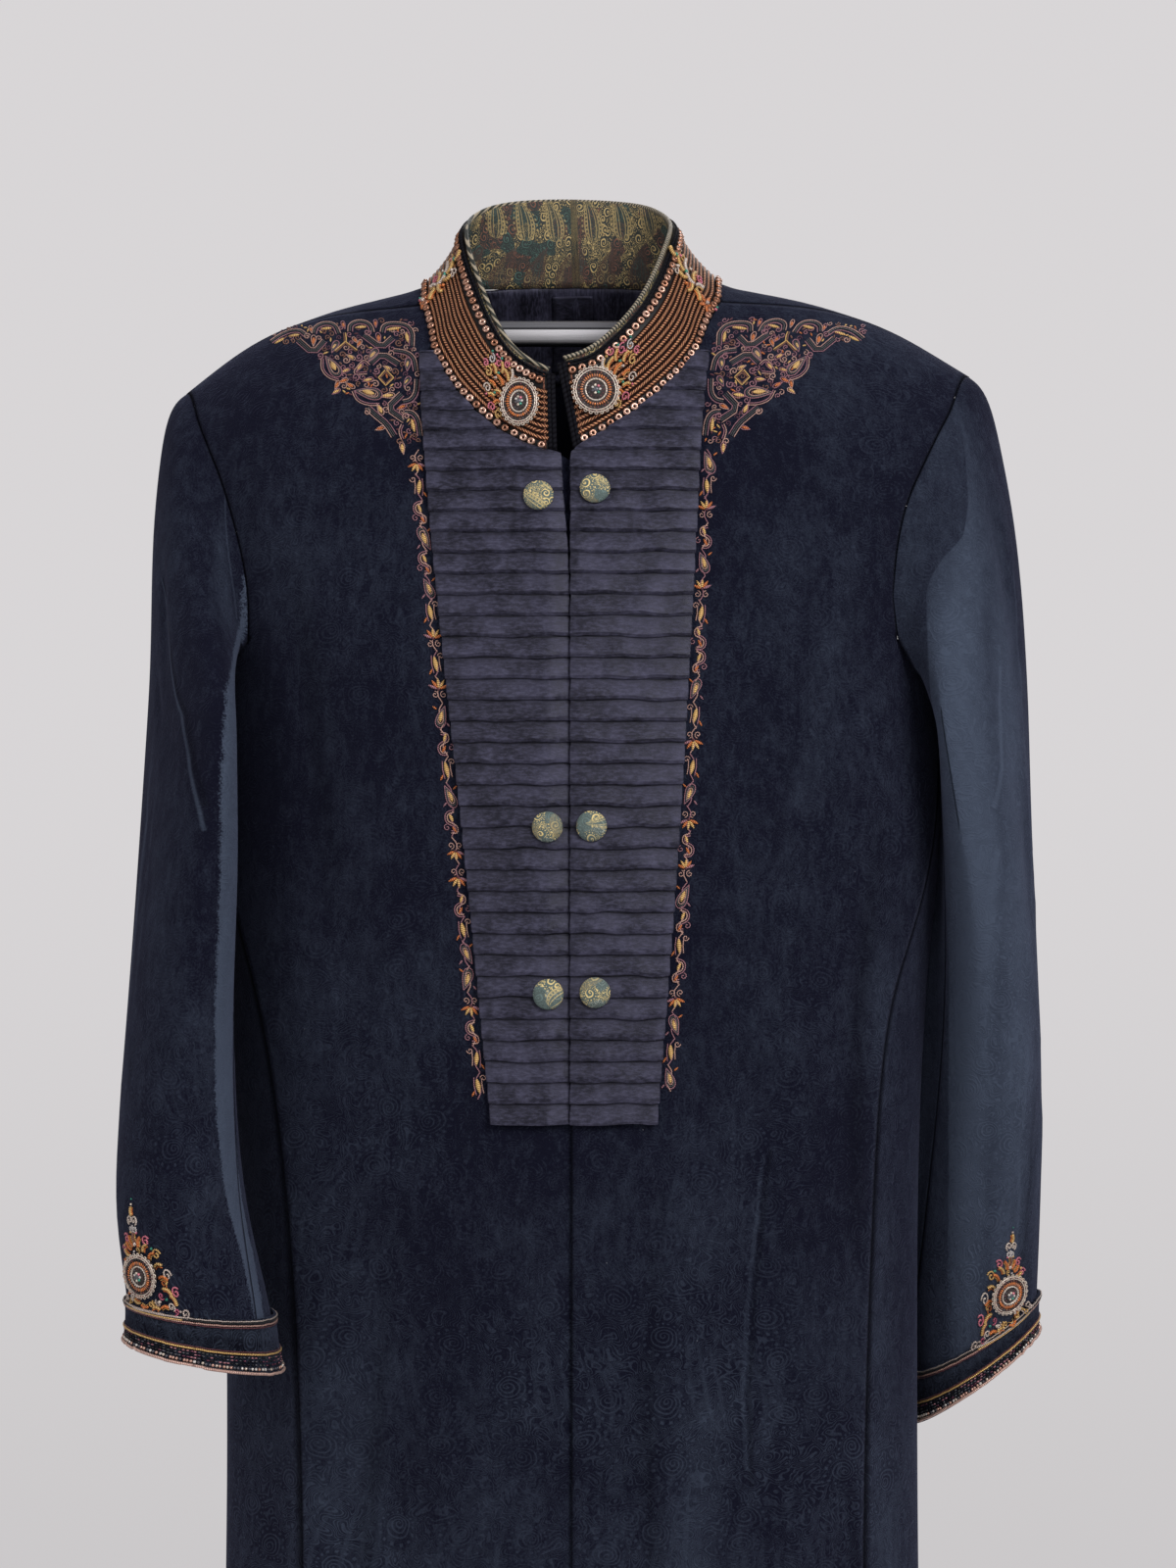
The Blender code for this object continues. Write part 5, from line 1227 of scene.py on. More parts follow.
# Creases of each chart: places as (angle from the front, height in mm), width and depth in mm
CREASES = {
    "right": (
        (((-62, -150), (-40, -185), (-22, -215)), 9, 2.6),
        (((-70, -215), (-35, -240), (10, -262)), 8, 2.2),
        (((-20, -235), (5, -285), (20, -330)), 10, 2.4),
        (((-80, -300), (-45, -325), (-10, -335)), 8, 1.8),
        (((40, -330), (12, -372), (-15, -400)), 9, 2.2),
        (((-60, -420), (-25, -440), (15, -446)), 9, 2.0),
        (((50, -430), (20, -475), (5, -520)), 10, 2.4),
        (((150, -180), (165, -240), (178, -300)), 11, 2.4),
        (((110, -330), (140, -360), (170, -375)), 9, 2.0),
        (((-170, -400), (-140, -440), (-115, -470)), 10, 2.2),
    ),
    "left": (
        (((-78, -215), (-80, -330), (-80, -450), (-80, -560), (-78, -640)), 26, -5.0),
        (((35, -100), (42, -140), (44, -190)), 9, 2.4),
        (((60, -190), (34, -218), (8, -240)), 8, 2.0),
        (((20, -250), (38, -300), (46, -360)), 10, 2.2),
        (((75, -330), (50, -352), (22, -362)), 8, 1.8),
        (((15, -390), (36, -425), (60, -445)), 9, 2.0),
        (((70, -480), (40, -505), (10, -512)), 9, 1.8),
        (((25, -560), (45, -600), (60, -640)), 10, 2.0),
        (((-150, -190), (-165, -250), (-176, -310)), 11, 2.4),
        (((-110, -340), (-140, -372), (-170, -386)), 9, 2.0),
        (((150, -420), (128, -455), (110, -500)), 10, 2.2),
    ),
    "body": (
        (((52, -160), (40, -260), (33, -400), (30, -560)), 15, 2.4),
        (((-50, -170), (-42, -280), (-36, -430)), 14, 2.0),
        (((32, -470), (31, -530), (29.5, -585), (26, -625), (25, -700)), 6, 2.6),
        (((22, -700), (24, -800), (27, -900), (30, -1040)), 15, 3.0),
        (((-24, -540), (-28, -720), (-30, -900), (-33, -1045)), 16, 2.6),
        (((8, -620), (10, -800), (12, -1000)), 14, 1.8),
        (((44, -640), (48, -820), (50, -1045)), 15, 2.4),
        (((-46, -660), (-50, -840), (-54, -1045)), 15, 2.2),
        (((160, -110), (150, -230), (146, -360)), 16, 2.4),
        (((-158, -120), (-150, -240), (-147, -350)), 16, 2.4),
        (((172, -420), (166, -620), (160, -900), (158, -1040)), 20, 3.0),
        (((-170, -460), (-164, -680), (-160, -1040)), 20, 2.8),
        (((140, -560), (134, -800), (130, -1045)), 17, 2.4),
        (((-138, -600), (-134, -820), (-128, -1045)), 17, 2.4),
        (((96, -300), (98, -460), (102, -640)), 12, 1.8),
        (((-96, -320), (-100, -500), (-104, -680)), 12, 1.8),
    ),
}

# Brushed pile of each chart: places, width in mm and strength (1 is a strip with ragged edges; below 0 the
# pile lies the other way on the inner side of the line, where a set tone is painted on as painted light that
# lifts the sleeve's shaded inner band). The right sleeve's line along its outer outline is a painted rim
# highlight, not brushed pile.
BRUSHED = {
    "right": (
        (((52, -120), (50, -187), (37, -204), (29, -223), (28, -246), (29, -291), (32, -337), (33, -365),
          (35, -421), (37, -450), (40, -478), (46, -506), (60, -550), (66, -605), (68, -665)), 10.5, 1.0),
        (((-20, -300), (-10, -420)), 16, 0.10),
        # Painted rim highlight along the sleeve's outer outline
        (((-68, -262), (-72, -320), (-80, -380), (-84, -430)), 6, 0.5),
        (((20, -120), (26, -170), (34, -200)), 9, 0.22),
    ),
    "left": (
        (((12, -30), (6, -138), (-6, -190), (-8, -247), (-6, -290), (-4, -330), (-8, -380), (-14, -440),
          (-16, -550), (-12, -690)), 20, 0.90),
        (((26, -60), (24, -200), (24, -330), (18, -480), (20, -670)), 27, 0.64),
        # The strip ends at this line; past it a set tone is painted on, painted light on the shaded inner
        # side
        (((40, -20), (20, -60), (12, -110), (3, -133), (-14, -150), (-20, -162), (-21, -215), (-24, -260),
          (-25, -330), (-27, -400), (-29, -520), (-31, -700)), 2.2, -1.0),
        (((55, -180), (62, -420), (60, -640)), 16, 0.34),
    ),
    "body": (
        (((48, -80), (38, -150), (31, -230)), 9, 0.05),
        (((54, -330), (58, -500), (60, -760)), 9, 0.14),
        (((26, -600), (20, -700), (15, -900)), 15, 0.18),
        (((55, -640), (60, -760), (62, -1000)), 14, 0.26),
        (((-34, -560), (-40, -760), (-44, -1000)), 22, 0.14),
        (((-10, -560), (-14, -760), (-12, -1000)), 26, 0.10),
        (((-60, -100), (-46, -200), (-38, -330)), 18, 0.10),
        (((150, -80), (158, -260), (150, -460)), 30, 0.16),
        (((-160, -300), (-150, -600), (-156, -900)), 34, 0.16),
        (((175, -560), (170, -800), (176, -1040)), 30, 0.18),
    ),
}

# Height of the ridge beside a crease, as a share of its depth
RIDGE = 0.35
# How far the painted light and shade of the fine creases waver, in metres
WAVER = 0.003
# Painted crease lines wider than this (mm) go on the vertices, finer ones are drawn by the material
WIDE_CREASE_LIGHT = 3.5
# Painted light and shade of the fine creases of each chart: places, width in mm and strength (above 0 a
# painted highlight, below 0 painted shade)
CREASE_LIGHT_AND_SHADE = {
    "right": (
        (((-64, -156), (-31, -187), (-2, -238), (3, -257), (6, -274), (10, -292), (13, -306)), 1.4, 0.52),
        (((-61, -156), (-28, -187), (1, -238), (9, -274), (13, -292)), 2.6, -0.35),
        (((-33, -230), (-34, -286), (-45, -351), (-50, -430)), 5.0, 0.14),
        (((28, -100), (33, -140), (40, -180)), 1.8, 0.25),
        (((-58, -440), (-30, -455), (0, -452)), 4.0, -0.35),
        (((-50, -560), (-20, -580), (15, -570)), 5.0, -0.30),
        (((160, -200), (172, -300), (165, -380)), 2.4, 0.25),
        (((-150, -330), (-140, -450), (-150, -540)), 2.4, 0.20),
    ),
    "left": (
        (((20, -210), (17, -228), (14, -270), (7, -293)), 2.0, 0.30),
        (((7, -320), (4, -335), (2, -368), (-4, -391), (-8, -430)), 2.0, 0.30),
        (((60, -150), (52, -230), (56, -330), (50, -430)), 2.4, 0.18),
        (((30, -440), (26, -500), (34, -590)), 3.0, 0.16),
        (((44, -470), (42, -560), (46, -640)), 4.0, -0.30),
        (((-150, -200), (-165, -320), (-158, -420)), 2.4, 0.25),
        (((150, -320), (140, -450), (150, -560)), 2.4, 0.20),
    ),
    "body": (
        (((32.0, -498), (29.4, -580), (28.0, -637), (28.4, -680)), 1.8, 0.16),
        (((33.0, -496), (30.4, -580), (29.0, -637), (29.4, -690)), 2.2, -0.30),
        (((35.5, -592), (31.0, -670), (26.6, -742), (25.0, -860)), 7.0, 0.12),
        (((52, -120), (44, -210), (38, -300), (35, -380)), 9.0, 0.08),
        (((54, -300), (50, -420), (50, -560)), 8.0, -0.35),
        (((-50, -150), (-44, -260), (-40, -360)), 9.0, -0.30),
        (((-30, -560), (-33, -700), (-36, -860), (-40, -1040)), 7.0, -0.35),
        (((14, -520), (12, -640), (13, -800), (11, -1030)), 8.0, -0.30),
        (((-13, -640), (-16, -780), (-18, -1030)), 8.0, 0.07),
        (((48, -700), (51, -820), (50, -1040)), 5.0, -0.45),
        (((160, -200), (150, -420), (155, -640)), 3.0, 0.14),
        (((-165, -300), (-158, -520), (-162, -760)), 3.0, 0.14),
        (((176, -600), (170, -820), (174, -1040)), 5.0, -0.40),
        (((138, -620), (134, -820), (136, -1040)), 5.0, -0.40),
        (((-138, -640), (-132, -840), (-135, -1040)), 5.0, -0.40),
    ),
}


def chart_line(kind, places):
    """Chart line of places given by angle and height."""
    if kind != "body":
        return [(math.radians(angle) * SLEEVE_ROUND, z * MM) for angle, z in places]
    wide, deep = BODY_HALF
    turns = [math.radians(angle) for angle, _ in places]
    points = np.array([(wide * math.sin(turn), -deep * math.cos(turn), z * MM)
                       for turn, (_, z) in zip(turns, places)])
    return [tuple(row) for row in body_chart(points)]


class COAT_OT_velvet(bpy.types.Operator):
    """Velvet panels and sleeves, creased and brushed"""
    bl_idname = "coat.velvet"
    bl_label = "Velvet shell"

    def execute(self, context):
        settings = context.scene.coat_velvet
        velvets = {"body": velvet_material("navy velvet body", settings, 1.0, "body")}
        for _, word in SIDES:
            velvets[word] = velvet_material("navy velvet %s sleeve" % word, settings, 1.0, word)
        for node, kind, width, length, area, holds in VELVET_PIECES:
            obj = cloth_copy(node, "velvet_" + node, velvets[kind], 2)
            points = points_of(obj)
            chart = body_chart(points) if kind == "body" else sleeve_chart(kind, points)
            paint_uv(obj, chart)
            away = self.edge_distance(obj, points)
            moved = self.creased(kind, chart) * smooth(0.002, 0.018, away) * settings.crease_depth
            points = points + away_from_axis(kind, points) * moved[:, None]
            if kind == "left":
                points[:, 0] -= self.lean_in(chart)
            put_points(obj, points)
            for name, values in self.brushed(kind, chart).items():
                paint_value(obj, name, values)
            # Painted shade along the panel's seams and hems, for the material to darken
            paint_value(obj, "seam_shade", np.exp(-(away / 0.0012) ** 2))
            finish_piece(obj, "velvet", node)
        return {"FINISHED"}

    @staticmethod
    def creased(kind, chart):
        """How far each point of a panel stands out for its creases: a hollow and a lower ridge beside it."""
        moved = np.zeros(len(chart))
        for places, wide, deep in CREASES[kind]:
            line = chart_line(kind, places)
            moved -= stroke(chart, line, wide * MM) * deep * MM
            shifted = [(u + wide * 1.5 * MM, v) for u, v in line]
            moved += stroke(chart, shifted, wide * MM) * deep * RIDGE * MM
        return moved

    @staticmethod
    def brushed(kind, chart):
        """Brushed pile of a panel for its material: nap with painted highlights, painted crease shade, ragged
        strips and turned pile.
        """
        made = {name: np.zeros(len(chart)) for name in ("nap", "crease_shade", "strip", "turned")}
        for places, wide, strength in BRUSHED[kind]:
            line = chart_line(kind, places)
            if strength < 0:
                past = np.interp(-chart[:, 1], [-v for _, v in line], [u for u, _ in line]) - chart[:, 0]
                made["turned"] = np.clip(0.5 + past / (2 * wide * MM), 0, 1)
            else:
                field = made["strip" if strength > 0.9 else "nap"]
                np.maximum(field, stroke(chart, line, wide * MM) * strength, out=field)
        # Wider crease lines are painted on the vertices: lighter ones as painted highlights added to the nap,
        # darker ones as painted crease shade
        for places, wide, strength in CREASE_LIGHT_AND_SHADE[kind]:
            if wide > WIDE_CREASE_LIGHT:
                field = made["nap" if strength > 0 else "crease_shade"]
                drawn = stroke(chart, chart_line(kind, places), wide * 0.6 * MM)
                np.maximum(field, drawn * abs(strength), out=field)
        return made

    @staticmethod
    def lean_in(chart):
        """How far a sleeve's inner side leans towards the body, by its chart."""
        turn = np.degrees(chart[:, 0] / SLEEVE_ROUND)
        around = np.exp(-(((turn + 88 + 180) % 360 - 180) / 42) ** 2)
        return 0.0075 * around * smooth(-0.30, -0.42, chart[:, 1]) * smooth(-0.655, -0.60, chart[:, 1])

    @staticmethod
    def edge_distance(obj, points):
        """Distance of each point from the panel's seams and hems."""
        net = bmesh.new()
        net.from_mesh(obj.data)
        rims = [vertex.co[:] for vertex in net.verts
                if any(len(edge.link_faces) == 2 and edge.calc_face_angle(0.0) > math.radians(40)
                       for edge in vertex.link_edges)]
        net.free()
        tree = KDTree(len(rims))
        for index, place in enumerate(rims):
            tree.insert(place, index)
        tree.balance()
        return np.array([tree.find(place)[2] for place in points])


# Rows of one tuck: share of its height above its own lower edge, how far it puffs out (mm), how dark it is
# (painted shadow under the fold of the tuck above)
TUCK_ROWS = ((0.0, 0.7, 0.0), (0.03, 1.05, 0.0), (0.12, 1.2, 0.0), (0.3, 0.95, 0.05), (0.55, 0.5, 0.12),
             (0.76, 0.15, 0.3), (0.87, 0.0, 0.45), (0.91, 0.0, 0.6), (0.935, 0.0, 1.0), (0.993, 0.0, 1.0))
# Tucks: height of one, how many, and the height of the lowest edge, in millimetres
TUCK_PITCH = 12.35
TUCK_COUNT = 38
BIB_BOTTOM = -477.5


class COAT_OT_bib(bpy.types.Operator):
    """Tucked satin bib in two halves"""
    bl_idname = "coat.bib"
    bl_label = "Tucked bib"

    def execute(self, context):
        settings = context.scene.coat_satin
        satin = satin_material("tucked satin", settings)
        for side, word in SIDES:
            ground = Surface(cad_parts["bib_" + word])
            rows, tuck_shadows = [], []
            draws = random.Random(20 + side)
            for count in range(TUCK_COUNT):
                drift = [draws.uniform(-1, 1) for _ in range(4)]
                for rise, puff, dark in TUCK_ROWS:
                    row = self.tuck_row(ground, side, BIB_BOTTOM + (count + rise) * TUCK_PITCH + 0.05, puff,
                                        drift, settings.tuck_wave)
                    if row:
                        rows.append(row)
                        tuck_shadows.append(dark)
            obj = grid_sheet("satin_bib_" + word, rows if side < 0 else [row[::-1] for row in rows],
                             satin, 0.0009)
            paint_value(obj, "shade", np.tile(np.repeat(tuck_shadows, len(rows[0])), 2))
            shade_smooth(obj, 30)
            finish_piece(obj, "satin", "bib_" + word)
        return {"FINISHED"}

    @staticmethod
    def tuck_row(ground, side, z, puff, drift, wave):
        """Points of one row from the bib's front edge to its outer edge, wandering a little up and down."""
        found = [x for x in range(0, 130) if ground.front(side * x * MM, z * MM)]
        if len(found) < 6:
            return None

        def last_hit(inside, outside):
            for _ in range(7):
                middle = (inside + outside) / 2
                hit = ground.front(side * middle * MM, z * MM)
                inside, outside = (middle, outside) if hit else (inside, middle)
            return inside

        near, far = last_hit(found[0], found[0] - 1), last_hit(found[-1], found[-1] + 1)
        row = []
        for k in range(27):
            t = k / 26
            x = mix(near, far, 0.5 - 0.5 * math.cos(math.pi * t) if k in (0, 1, 25, 26) else t)
            point = ground.front(side * x * MM, z * MM)[0]
            away = min(t, 1 - t) * 8
            rise = (drift[0] * math.sin(x * 0.11 + drift[1] * 3)
                    + drift[2] * math.sin(x * 0.23 + drift[3] * 3) * 0.5)
            inside = min(1.0, away)
            puffed = puff * (0.75 + 0.25 * math.sin(x * 0.19 + drift[1] * 9)) * min(1.0, away * 1.5)
            row.append((point.x, point.y - puffed * MM, point.z + rise * wave * inside))
        return row


class COAT_OT_neck_lining(bpy.types.Operator):
    """Gathered satin inside the back of the neck, and its bare label"""
    bl_idname = "coat.neck_lining"
    bl_label = "Neck lining"

    def execute(self, context):
        settings = context.scene.coat_satin
        lining = satin_material("lining satin", settings, 0.30)
        obj = cloth_copy("back_neck_lining", "satin_neck_lining", lining, 3)
        points = points_of(obj)
        paint_uv(obj, points[:, [2, 0]])
        reach_past(points, 0.0030, 0.0012)
        x = points[:, 0]
        gather = np.sin(x * 430) * 0.5 + np.sin(x * 270 + 1.3) * 0.6 + np.sin(x * 700 + 0.4) * 0.25
        low, high = points[:, 2].min(), points[:, 2].max()
        share = np.sin(np.clip((points[:, 2] - low) / (high - low), 0, 1) * math.pi) ** 0.5
        points[:, 1] -= (gather * 0.0009 + 0.0009) * share
        put_points(obj, points)
        paint_value(obj, "shade", np.clip(-gather * 0.5, 0, 0.7) * share)
        finish_piece(obj, "satin", "back_neck_lining")
        label_satin = satin_material("label satin", settings, 0.42)
        label = cloth_copy("neck_label", "bare_label", label_satin, 3)
        points = points_of(label)
        paint_uv(label, points[:, [0, 2]])
        low, high = points[:, 2].min(), points[:, 2].max()
        left, right = points[:, 0].min(), points[:, 0].max()
        rim = np.minimum.reduce([points[:, 2] - low, high - points[:, 2],
                                 points[:, 0] - left, right - points[:, 0]])
        paint_value(label, "shade", np.where((rim > 0.0012) & (rim < 0.0022), 0.7, 0.25))
        finish_piece(label, "label_cloth", "neck_label")
        return {"FINISHED"}


class COAT_OT_collar(bpy.types.Operator):
    """Braided stand collar with its lining, piping and two rows of beads"""
    bl_idname = "coat.collar"
    bl_label = "Collar"

    def execute(self, context):
        trim = context.scene.coat_trim
        braid = self.braid_material()
        pitch = (BRAID_END - BRAID_START) / BRAID_ROWS
        levels = [(0.004, 0.0002), (0.05, 0.0004), (BRAID_START - 0.012, 0.0001)]
        for row in range(BRAID_ROWS):
            for k in range(6):
                t = k / 6
                levels.append((BRAID_START + (row + t) * pitch,
                               trim.braid_height * math.sin(math.pi * t) ** 0.7))
        levels += [(BRAID_END, 0.0), (BRAID_END + 0.01, 0.0001),
                   (0.85, 0.0005), (0.93, 0.0002), (0.996, 0.0)]
        collar = collar_grid("braid_collar", levels, 260, -0.0018, braid)
        finish_piece(collar, "braid", "collar")
        brocade = brocade_material("collar brocade", 0.024, (0.024, 0.033, 0.032),
                                   ((0.240, 0.100, 0.065), (0.075, 0.150, 0.125), (0.250, 0.100, 0.070),
                                    (0.640, 0.470, 0.200)))
        lining = cloth_copy("collar_lining", "brocade_lining", brocade, 2)
        points = points_of(lining)
        paint_uv(lining, np.stack([collar_turn(points) * COLLAR_ROUND, points[:, 2]], axis=1))
        points[:, 2] += smooth(0.55, 0.9, self.share_up(points)) * 0.0022
        put_points(lining, points)
        finish_piece(lining, "brocade", "collar_lining")
        self.add_piping()
        self.add_beads(trim)
        return {"FINISHED"}

    @staticmethod
    def share_up(points):
        """Share of the way from a lining's lower edge to its upper edge, for its points."""
        turn = np.degrees(collar_turn(points))
        low, high = np.zeros(len(points)), np.zeros(len(points))
        for start in range(-180, 180, 6):
            near = np.abs((turn - start - 3 + 180) % 360 - 180) < 7
            here = (turn >= start) & (turn < start + 6)
            if near.any():
                low[here], high[here] = points[near, 2].min(), points[near, 2].max()
        return (points[:, 2] - low) / np.maximum(high - low, 1e-6)

    @staticmethod
    def braid_material():
        """Twisted copper cord rows, painted shade in their hollows, dark cloth under the beads and along the
        top.
        """
        material, tree, shader = start_material("copper braid", 0.5, 0.35, Specular_IOR_Level=0.25)
        parts = split(cloth_map(tree))
        up = parts[1] / COLLAR_HEIGHT
        row = (up - BRAID_START) * (BRAID_ROWS / (BRAID_END - BRAID_START))
        part = sums("FRACT", row)
        lean = sums("FLOORED_MODULO", sums("FLOOR", row), 2.0) * 2.0 - 1.0
        slant = parts[0] / 0.0022 + part * (lean * 1.7)
        strand = eased(sine(slant * math.tau), 0.5, 0.5)
        crest = ramp(sine(part * math.pi), 0.50, 0.92)
        place = place_of(tree)
        cloud = ramp(noise(place, 45.0, 4.0), 0.45, 0.7) * 0.35
        fine = ramp(noise(place, 900.0, 2.0), 0.5, 0.75) * 0.40
        # Strands: partly the cord's own brown and copper, partly painted highlight on their crowns and
        # painted shade in the grooves
        thread = blend(ramp(strand, 0.40, 0.95), (0.085, 0.024, 0.016), (0.820, 0.370, 0.190))
        thread = blend(fine, blend(cloud, thread, (0.200, 0.075, 0.040)), (0.85, 0.55, 0.28))
        # Painted shade: near black in the hollows between the rows
        thread = blend(crest, (0.030, 0.012, 0.009), thread)
        inside = (ramp(up, BRAID_START - 0.004, BRAID_START + 0.004)
                  * ramp(up, BRAID_END - 0.002, BRAID_END + 0.006, 1.0, 0.0))
        fill(shader, {"Base Color": blend(inside, (0.006, 0.005, 0.006), thread), "Metallic": inside * 0.35})
        bump(shader, (strand + crest) * inside, 0.0004, 0.8)
        return material

    @staticmethod
    def add_piping():
        """Pale and dark green twisted piping along the top edge."""
        cloth, tree, shader = start_material("twisted piping", 0.5, Sheen_Weight=0.05)
        strand = grouped("Twisted strands", Vector=cloth_map(tree), Pitch=0.0034)["Strand"]
        worn = ramp(strand + noise(place_of(tree), 130.0, 4.0), 0.85, 1.25)
        fill(shader, {"Base Color": blend(worn, (0.022, 0.026, 0.020), (0.430, 0.360, 0.260))})
        bump(shader, strand, 0.0004, 0.8)
        piping = cloth_copy("collar_piping", "brocade_piping", cloth, 2, sharp=80)
        points = points_of(piping)
        turns = (points[:, 2] + points[:, 1] * 0.6) * 260
        paint_uv(piping, np.stack([collar_turn(points) * COLLAR_ROUND, turns], axis=1))
        finish_piece(piping, "piping", "collar_piping")

    @staticmethod
    def add_beads(trim):
        """Ring beads sewn along the collar's base and top, the front ones with a painted reflection."""
        draws = random.Random(11)
        ring = shape_of(bpy.ops.mesh.primitive_torus_add, major_radius=0.30, minor_radius=0.20,
                        major_segments=10, minor_segments=6)
        batch = Batch()
        for count, up, start, end in ((trim.base_beads, 0.055, 0.010, 0.992),
                                      (trim.top_beads, 0.86, 0.012, 0.990)):
            for k in range(count):
                along = mix(start, end, k / (count - 1)) + draws.uniform(-0.0004, 0.0004)
                point, normal = collar_site(along, up, 0.0012)
                ahead = collar_site(min(along + 0.004, 1.0), up, 0.0012)[0] - point
                tilt = Vector((draws.uniform(-0.16, 0.16), 0.0, draws.uniform(-0.16, 0.16)))
                # Painted reflection: beads towards the front are painted lighter and pinker, from copper
                # towards rose
                front = smooth(0.0, 0.075, -point.y - 0.010)
                shine = front * draws.uniform(0.1, 0.85)
                colour = [mix(a * 0.6, b, shine) for a, b in zip(PALETTE["copper"], PALETTE["rose"])]
                size = trim.bead_size / MM * draws.uniform(0.94, 1.05)
                batch.stamp(ring, (point, normal + tilt), ahead, (size, size, size * 1.25), tuple(colour))
        batch.finish("collar_beads", bead_material("copper beads", 0.22, 0.85))


# Cords round a cuff: share of the way down, radius (mm), colour
CUFF_CORDS = ((0.02, 0.42, "pale"), (0.055, 0.5, "black"), (0.105, 0.55, "dusk"), (0.145, 0.38, "wine"),
              (0.595, 0.38, "wine"), (0.635, 0.6, "gold"), (0.985, 0.9, "rose"))
# Rows of beads round a cuff: share of the way down, step in degrees, size (mm), length for its width,
# colours
DARK_BEADS = ("smoke", "mauve", "black", "plum", "slate", "black")
CUFF_BEADS = ((0.70, 3.4, 1.1, 2.2, DARK_BEADS), (0.765, 3.4, 1.1, 2.2, DARK_BEADS),
              (0.83, 3.4, 1.2, 2.2, DARK_BEADS), (0.91, 2.9, 2.1, 1.0, ("silver", "pale", "smoke", "dusk")))


class Cuff:
    """One cuff's band: its surface, and its lowest and highest heights at angles round its middle."""

    def __init__(self, word, obj):
        low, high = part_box("cuff_band_" + word)
        self.surface, self.middle = Surface(obj), (low + high) / 2
        self.angles, self.lows, self.highs = list(range(0, 361, 3)), [], []
        for angle in self.angles[:-1]:
            heights = [z for z in np.arange(low.z - 0.002, high.z + 0.002, 0.0004)
                       if self.surface.round(Vector((self.middle.x, self.middle.y, z)), angle)]
            self.lows.append(min(heights))
            self.highs.append(max(heights))
        self.lows.append(self.lows[0])
        self.highs.append(self.highs[0])

    def span(self, angles):
        """Lowest and highest heights at some angles."""
        return np.interp(angles, self.angles, self.lows), np.interp(angles, self.angles, self.highs)

    def spot(self, angle, down):
        """Point and normal at an angle and a share of the band's depth."""
        low, high = self.span(angle % 360)
        place = Vector((self.middle.x, self.middle.y, mix(high - 0.0004, low + 0.0004, down)))
        return self.surface.round(place, angle)


class COAT_OT_cuffs(bpy.types.Operator):
    """Dark cuff bands with gold cords, sequin rows and a rolled edge"""
    bl_idname = "coat.cuffs"
    bl_label = "Cuffs"

    def execute(self, context):
        pile = velvet_material("cuff velvet", context.scene.coat_velvet, 0.4)
        thread = thread_material("cuff cord", 0.35, 0.4)
        beads = bead_material("cuff beads", 0.25, 0.6)
        for _, word in SIDES:
            obj = cloth_copy("cuff_band_" + word, "velvet_cuff_" + word, pile, 2, sharp=70)
            points = points_of(obj)
            paint_uv(obj, sleeve_chart(word, points))
            cuff = Cuff(word, obj)
            turn = np.degrees(np.arctan2(points[:, 0] - cuff.middle.x,
                                         -(points[:, 1] - cuff.middle.y))) % 360
            low, high = cuff.span(turn)
            down = (high - points[:, 2]) / (high - low)
            paint_value(obj, "nap", np.clip(1 - np.abs(down - 0.27) / 0.16, 0, 1) * 0.16)
            finish_piece(obj, "cuff_velvet", "cuff_band_" + word)
            self.add_cords(word, cuff, thread)
            self.add_sequins(word, cuff, beads)
        return {"FINISHED"}

    @staticmethod
    def add_cords(word, cuff, thread):
        """Gold and copper cords round the band and the twisted roll of its edge."""
        batch = Batch()
        for down, radius, colour in CUFF_CORDS:
            spots = [spot for spot in (cuff.spot(angle, down) for angle in range(0, 360, 2)) if spot]
            batch.cord(spots, radius, colour, radius * 0.5, closed=True)
        batch.finish("cuff_cords_" + word, thread)

    @staticmethod
    def add_sequins(word, cuff, beads):
        """Rows of small dark and silver beads near the edge."""
        draws = random.Random(7)
        ball, batch = ball_shape(), Batch()
        for down, step, size, long, colours in CUFF_BEADS:
            for angle in np.arange(0, 360, step):
                spot = cuff.spot(angle + draws.uniform(-0.4, 0.4), down)
                ahead = cuff.spot(angle + 2, down)
                if spot and ahead:
                    batch.stamp(ball, spot, ahead[0] - spot[0], (size * long, size, size * 0.8),
                                draws.choice(colours), size * 0.3)
        batch.finish("cuff_beads_" + word, beads)


class COAT_OT_buttons(bpy.types.Operator):
    """Six buttons covered in brocade"""
    bl_idname = "coat.buttons"
    bl_label = "Covered buttons"

    def execute(self, context):
        cover = brocade_material("button brocade", 0.0210, (0.115, 0.160, 0.150),
                                 ((0.420, 0.460, 0.400), (0.170, 0.250, 0.240), (0.640, 0.450, 0.190),
                                  (0.980, 0.760, 0.330)), metallic=0.25, turns=2.8)
        for index, (row, word) in enumerate((r, w) for r in ("top", "middle", "bottom") for _, w in SIDES):
            node = "button_%s_%s" % (row, word)
            obj = cloth_copy(node, "covered_" + node, cover, 2, sharp=75)
            points = points_of(obj)
            chart = points[:, [0, 2]] - points[:, [0, 2]].mean(axis=0)
            turn = index * 1.1
            chart = chart @ np.array([[math.cos(turn), -math.sin(turn)], [math.sin(turn), math.cos(turn)]])
            paint_uv(obj, chart + np.array([index * 0.0173, index * 0.0121]))
            finish_piece(obj, "button_cover", node)
        return {"FINISHED"}


# Rows of beads on a medallion: how many, share of the way out, size, length for its width, lift, colours
# (mm)
MEDALLION_ROWS = (
    (36, 0.92, 1.0, 1.0, 0.9, ("pale", "dusk", "wine")),
    (30, 0.77, 1.2, 1.0, 0.4, ("smoke", "wine", "black", "brown")),
    (38, 0.62, 1.15, 2.3, 0.6, ("ember", "orange", "copper")),
    (24, 0.47, 1.0, 1.0, 1.0, ("pale", "silver")),
    (14, 0.34, 1.1, 1.0, 0.6, ("black", "smoke", "wine")),
)


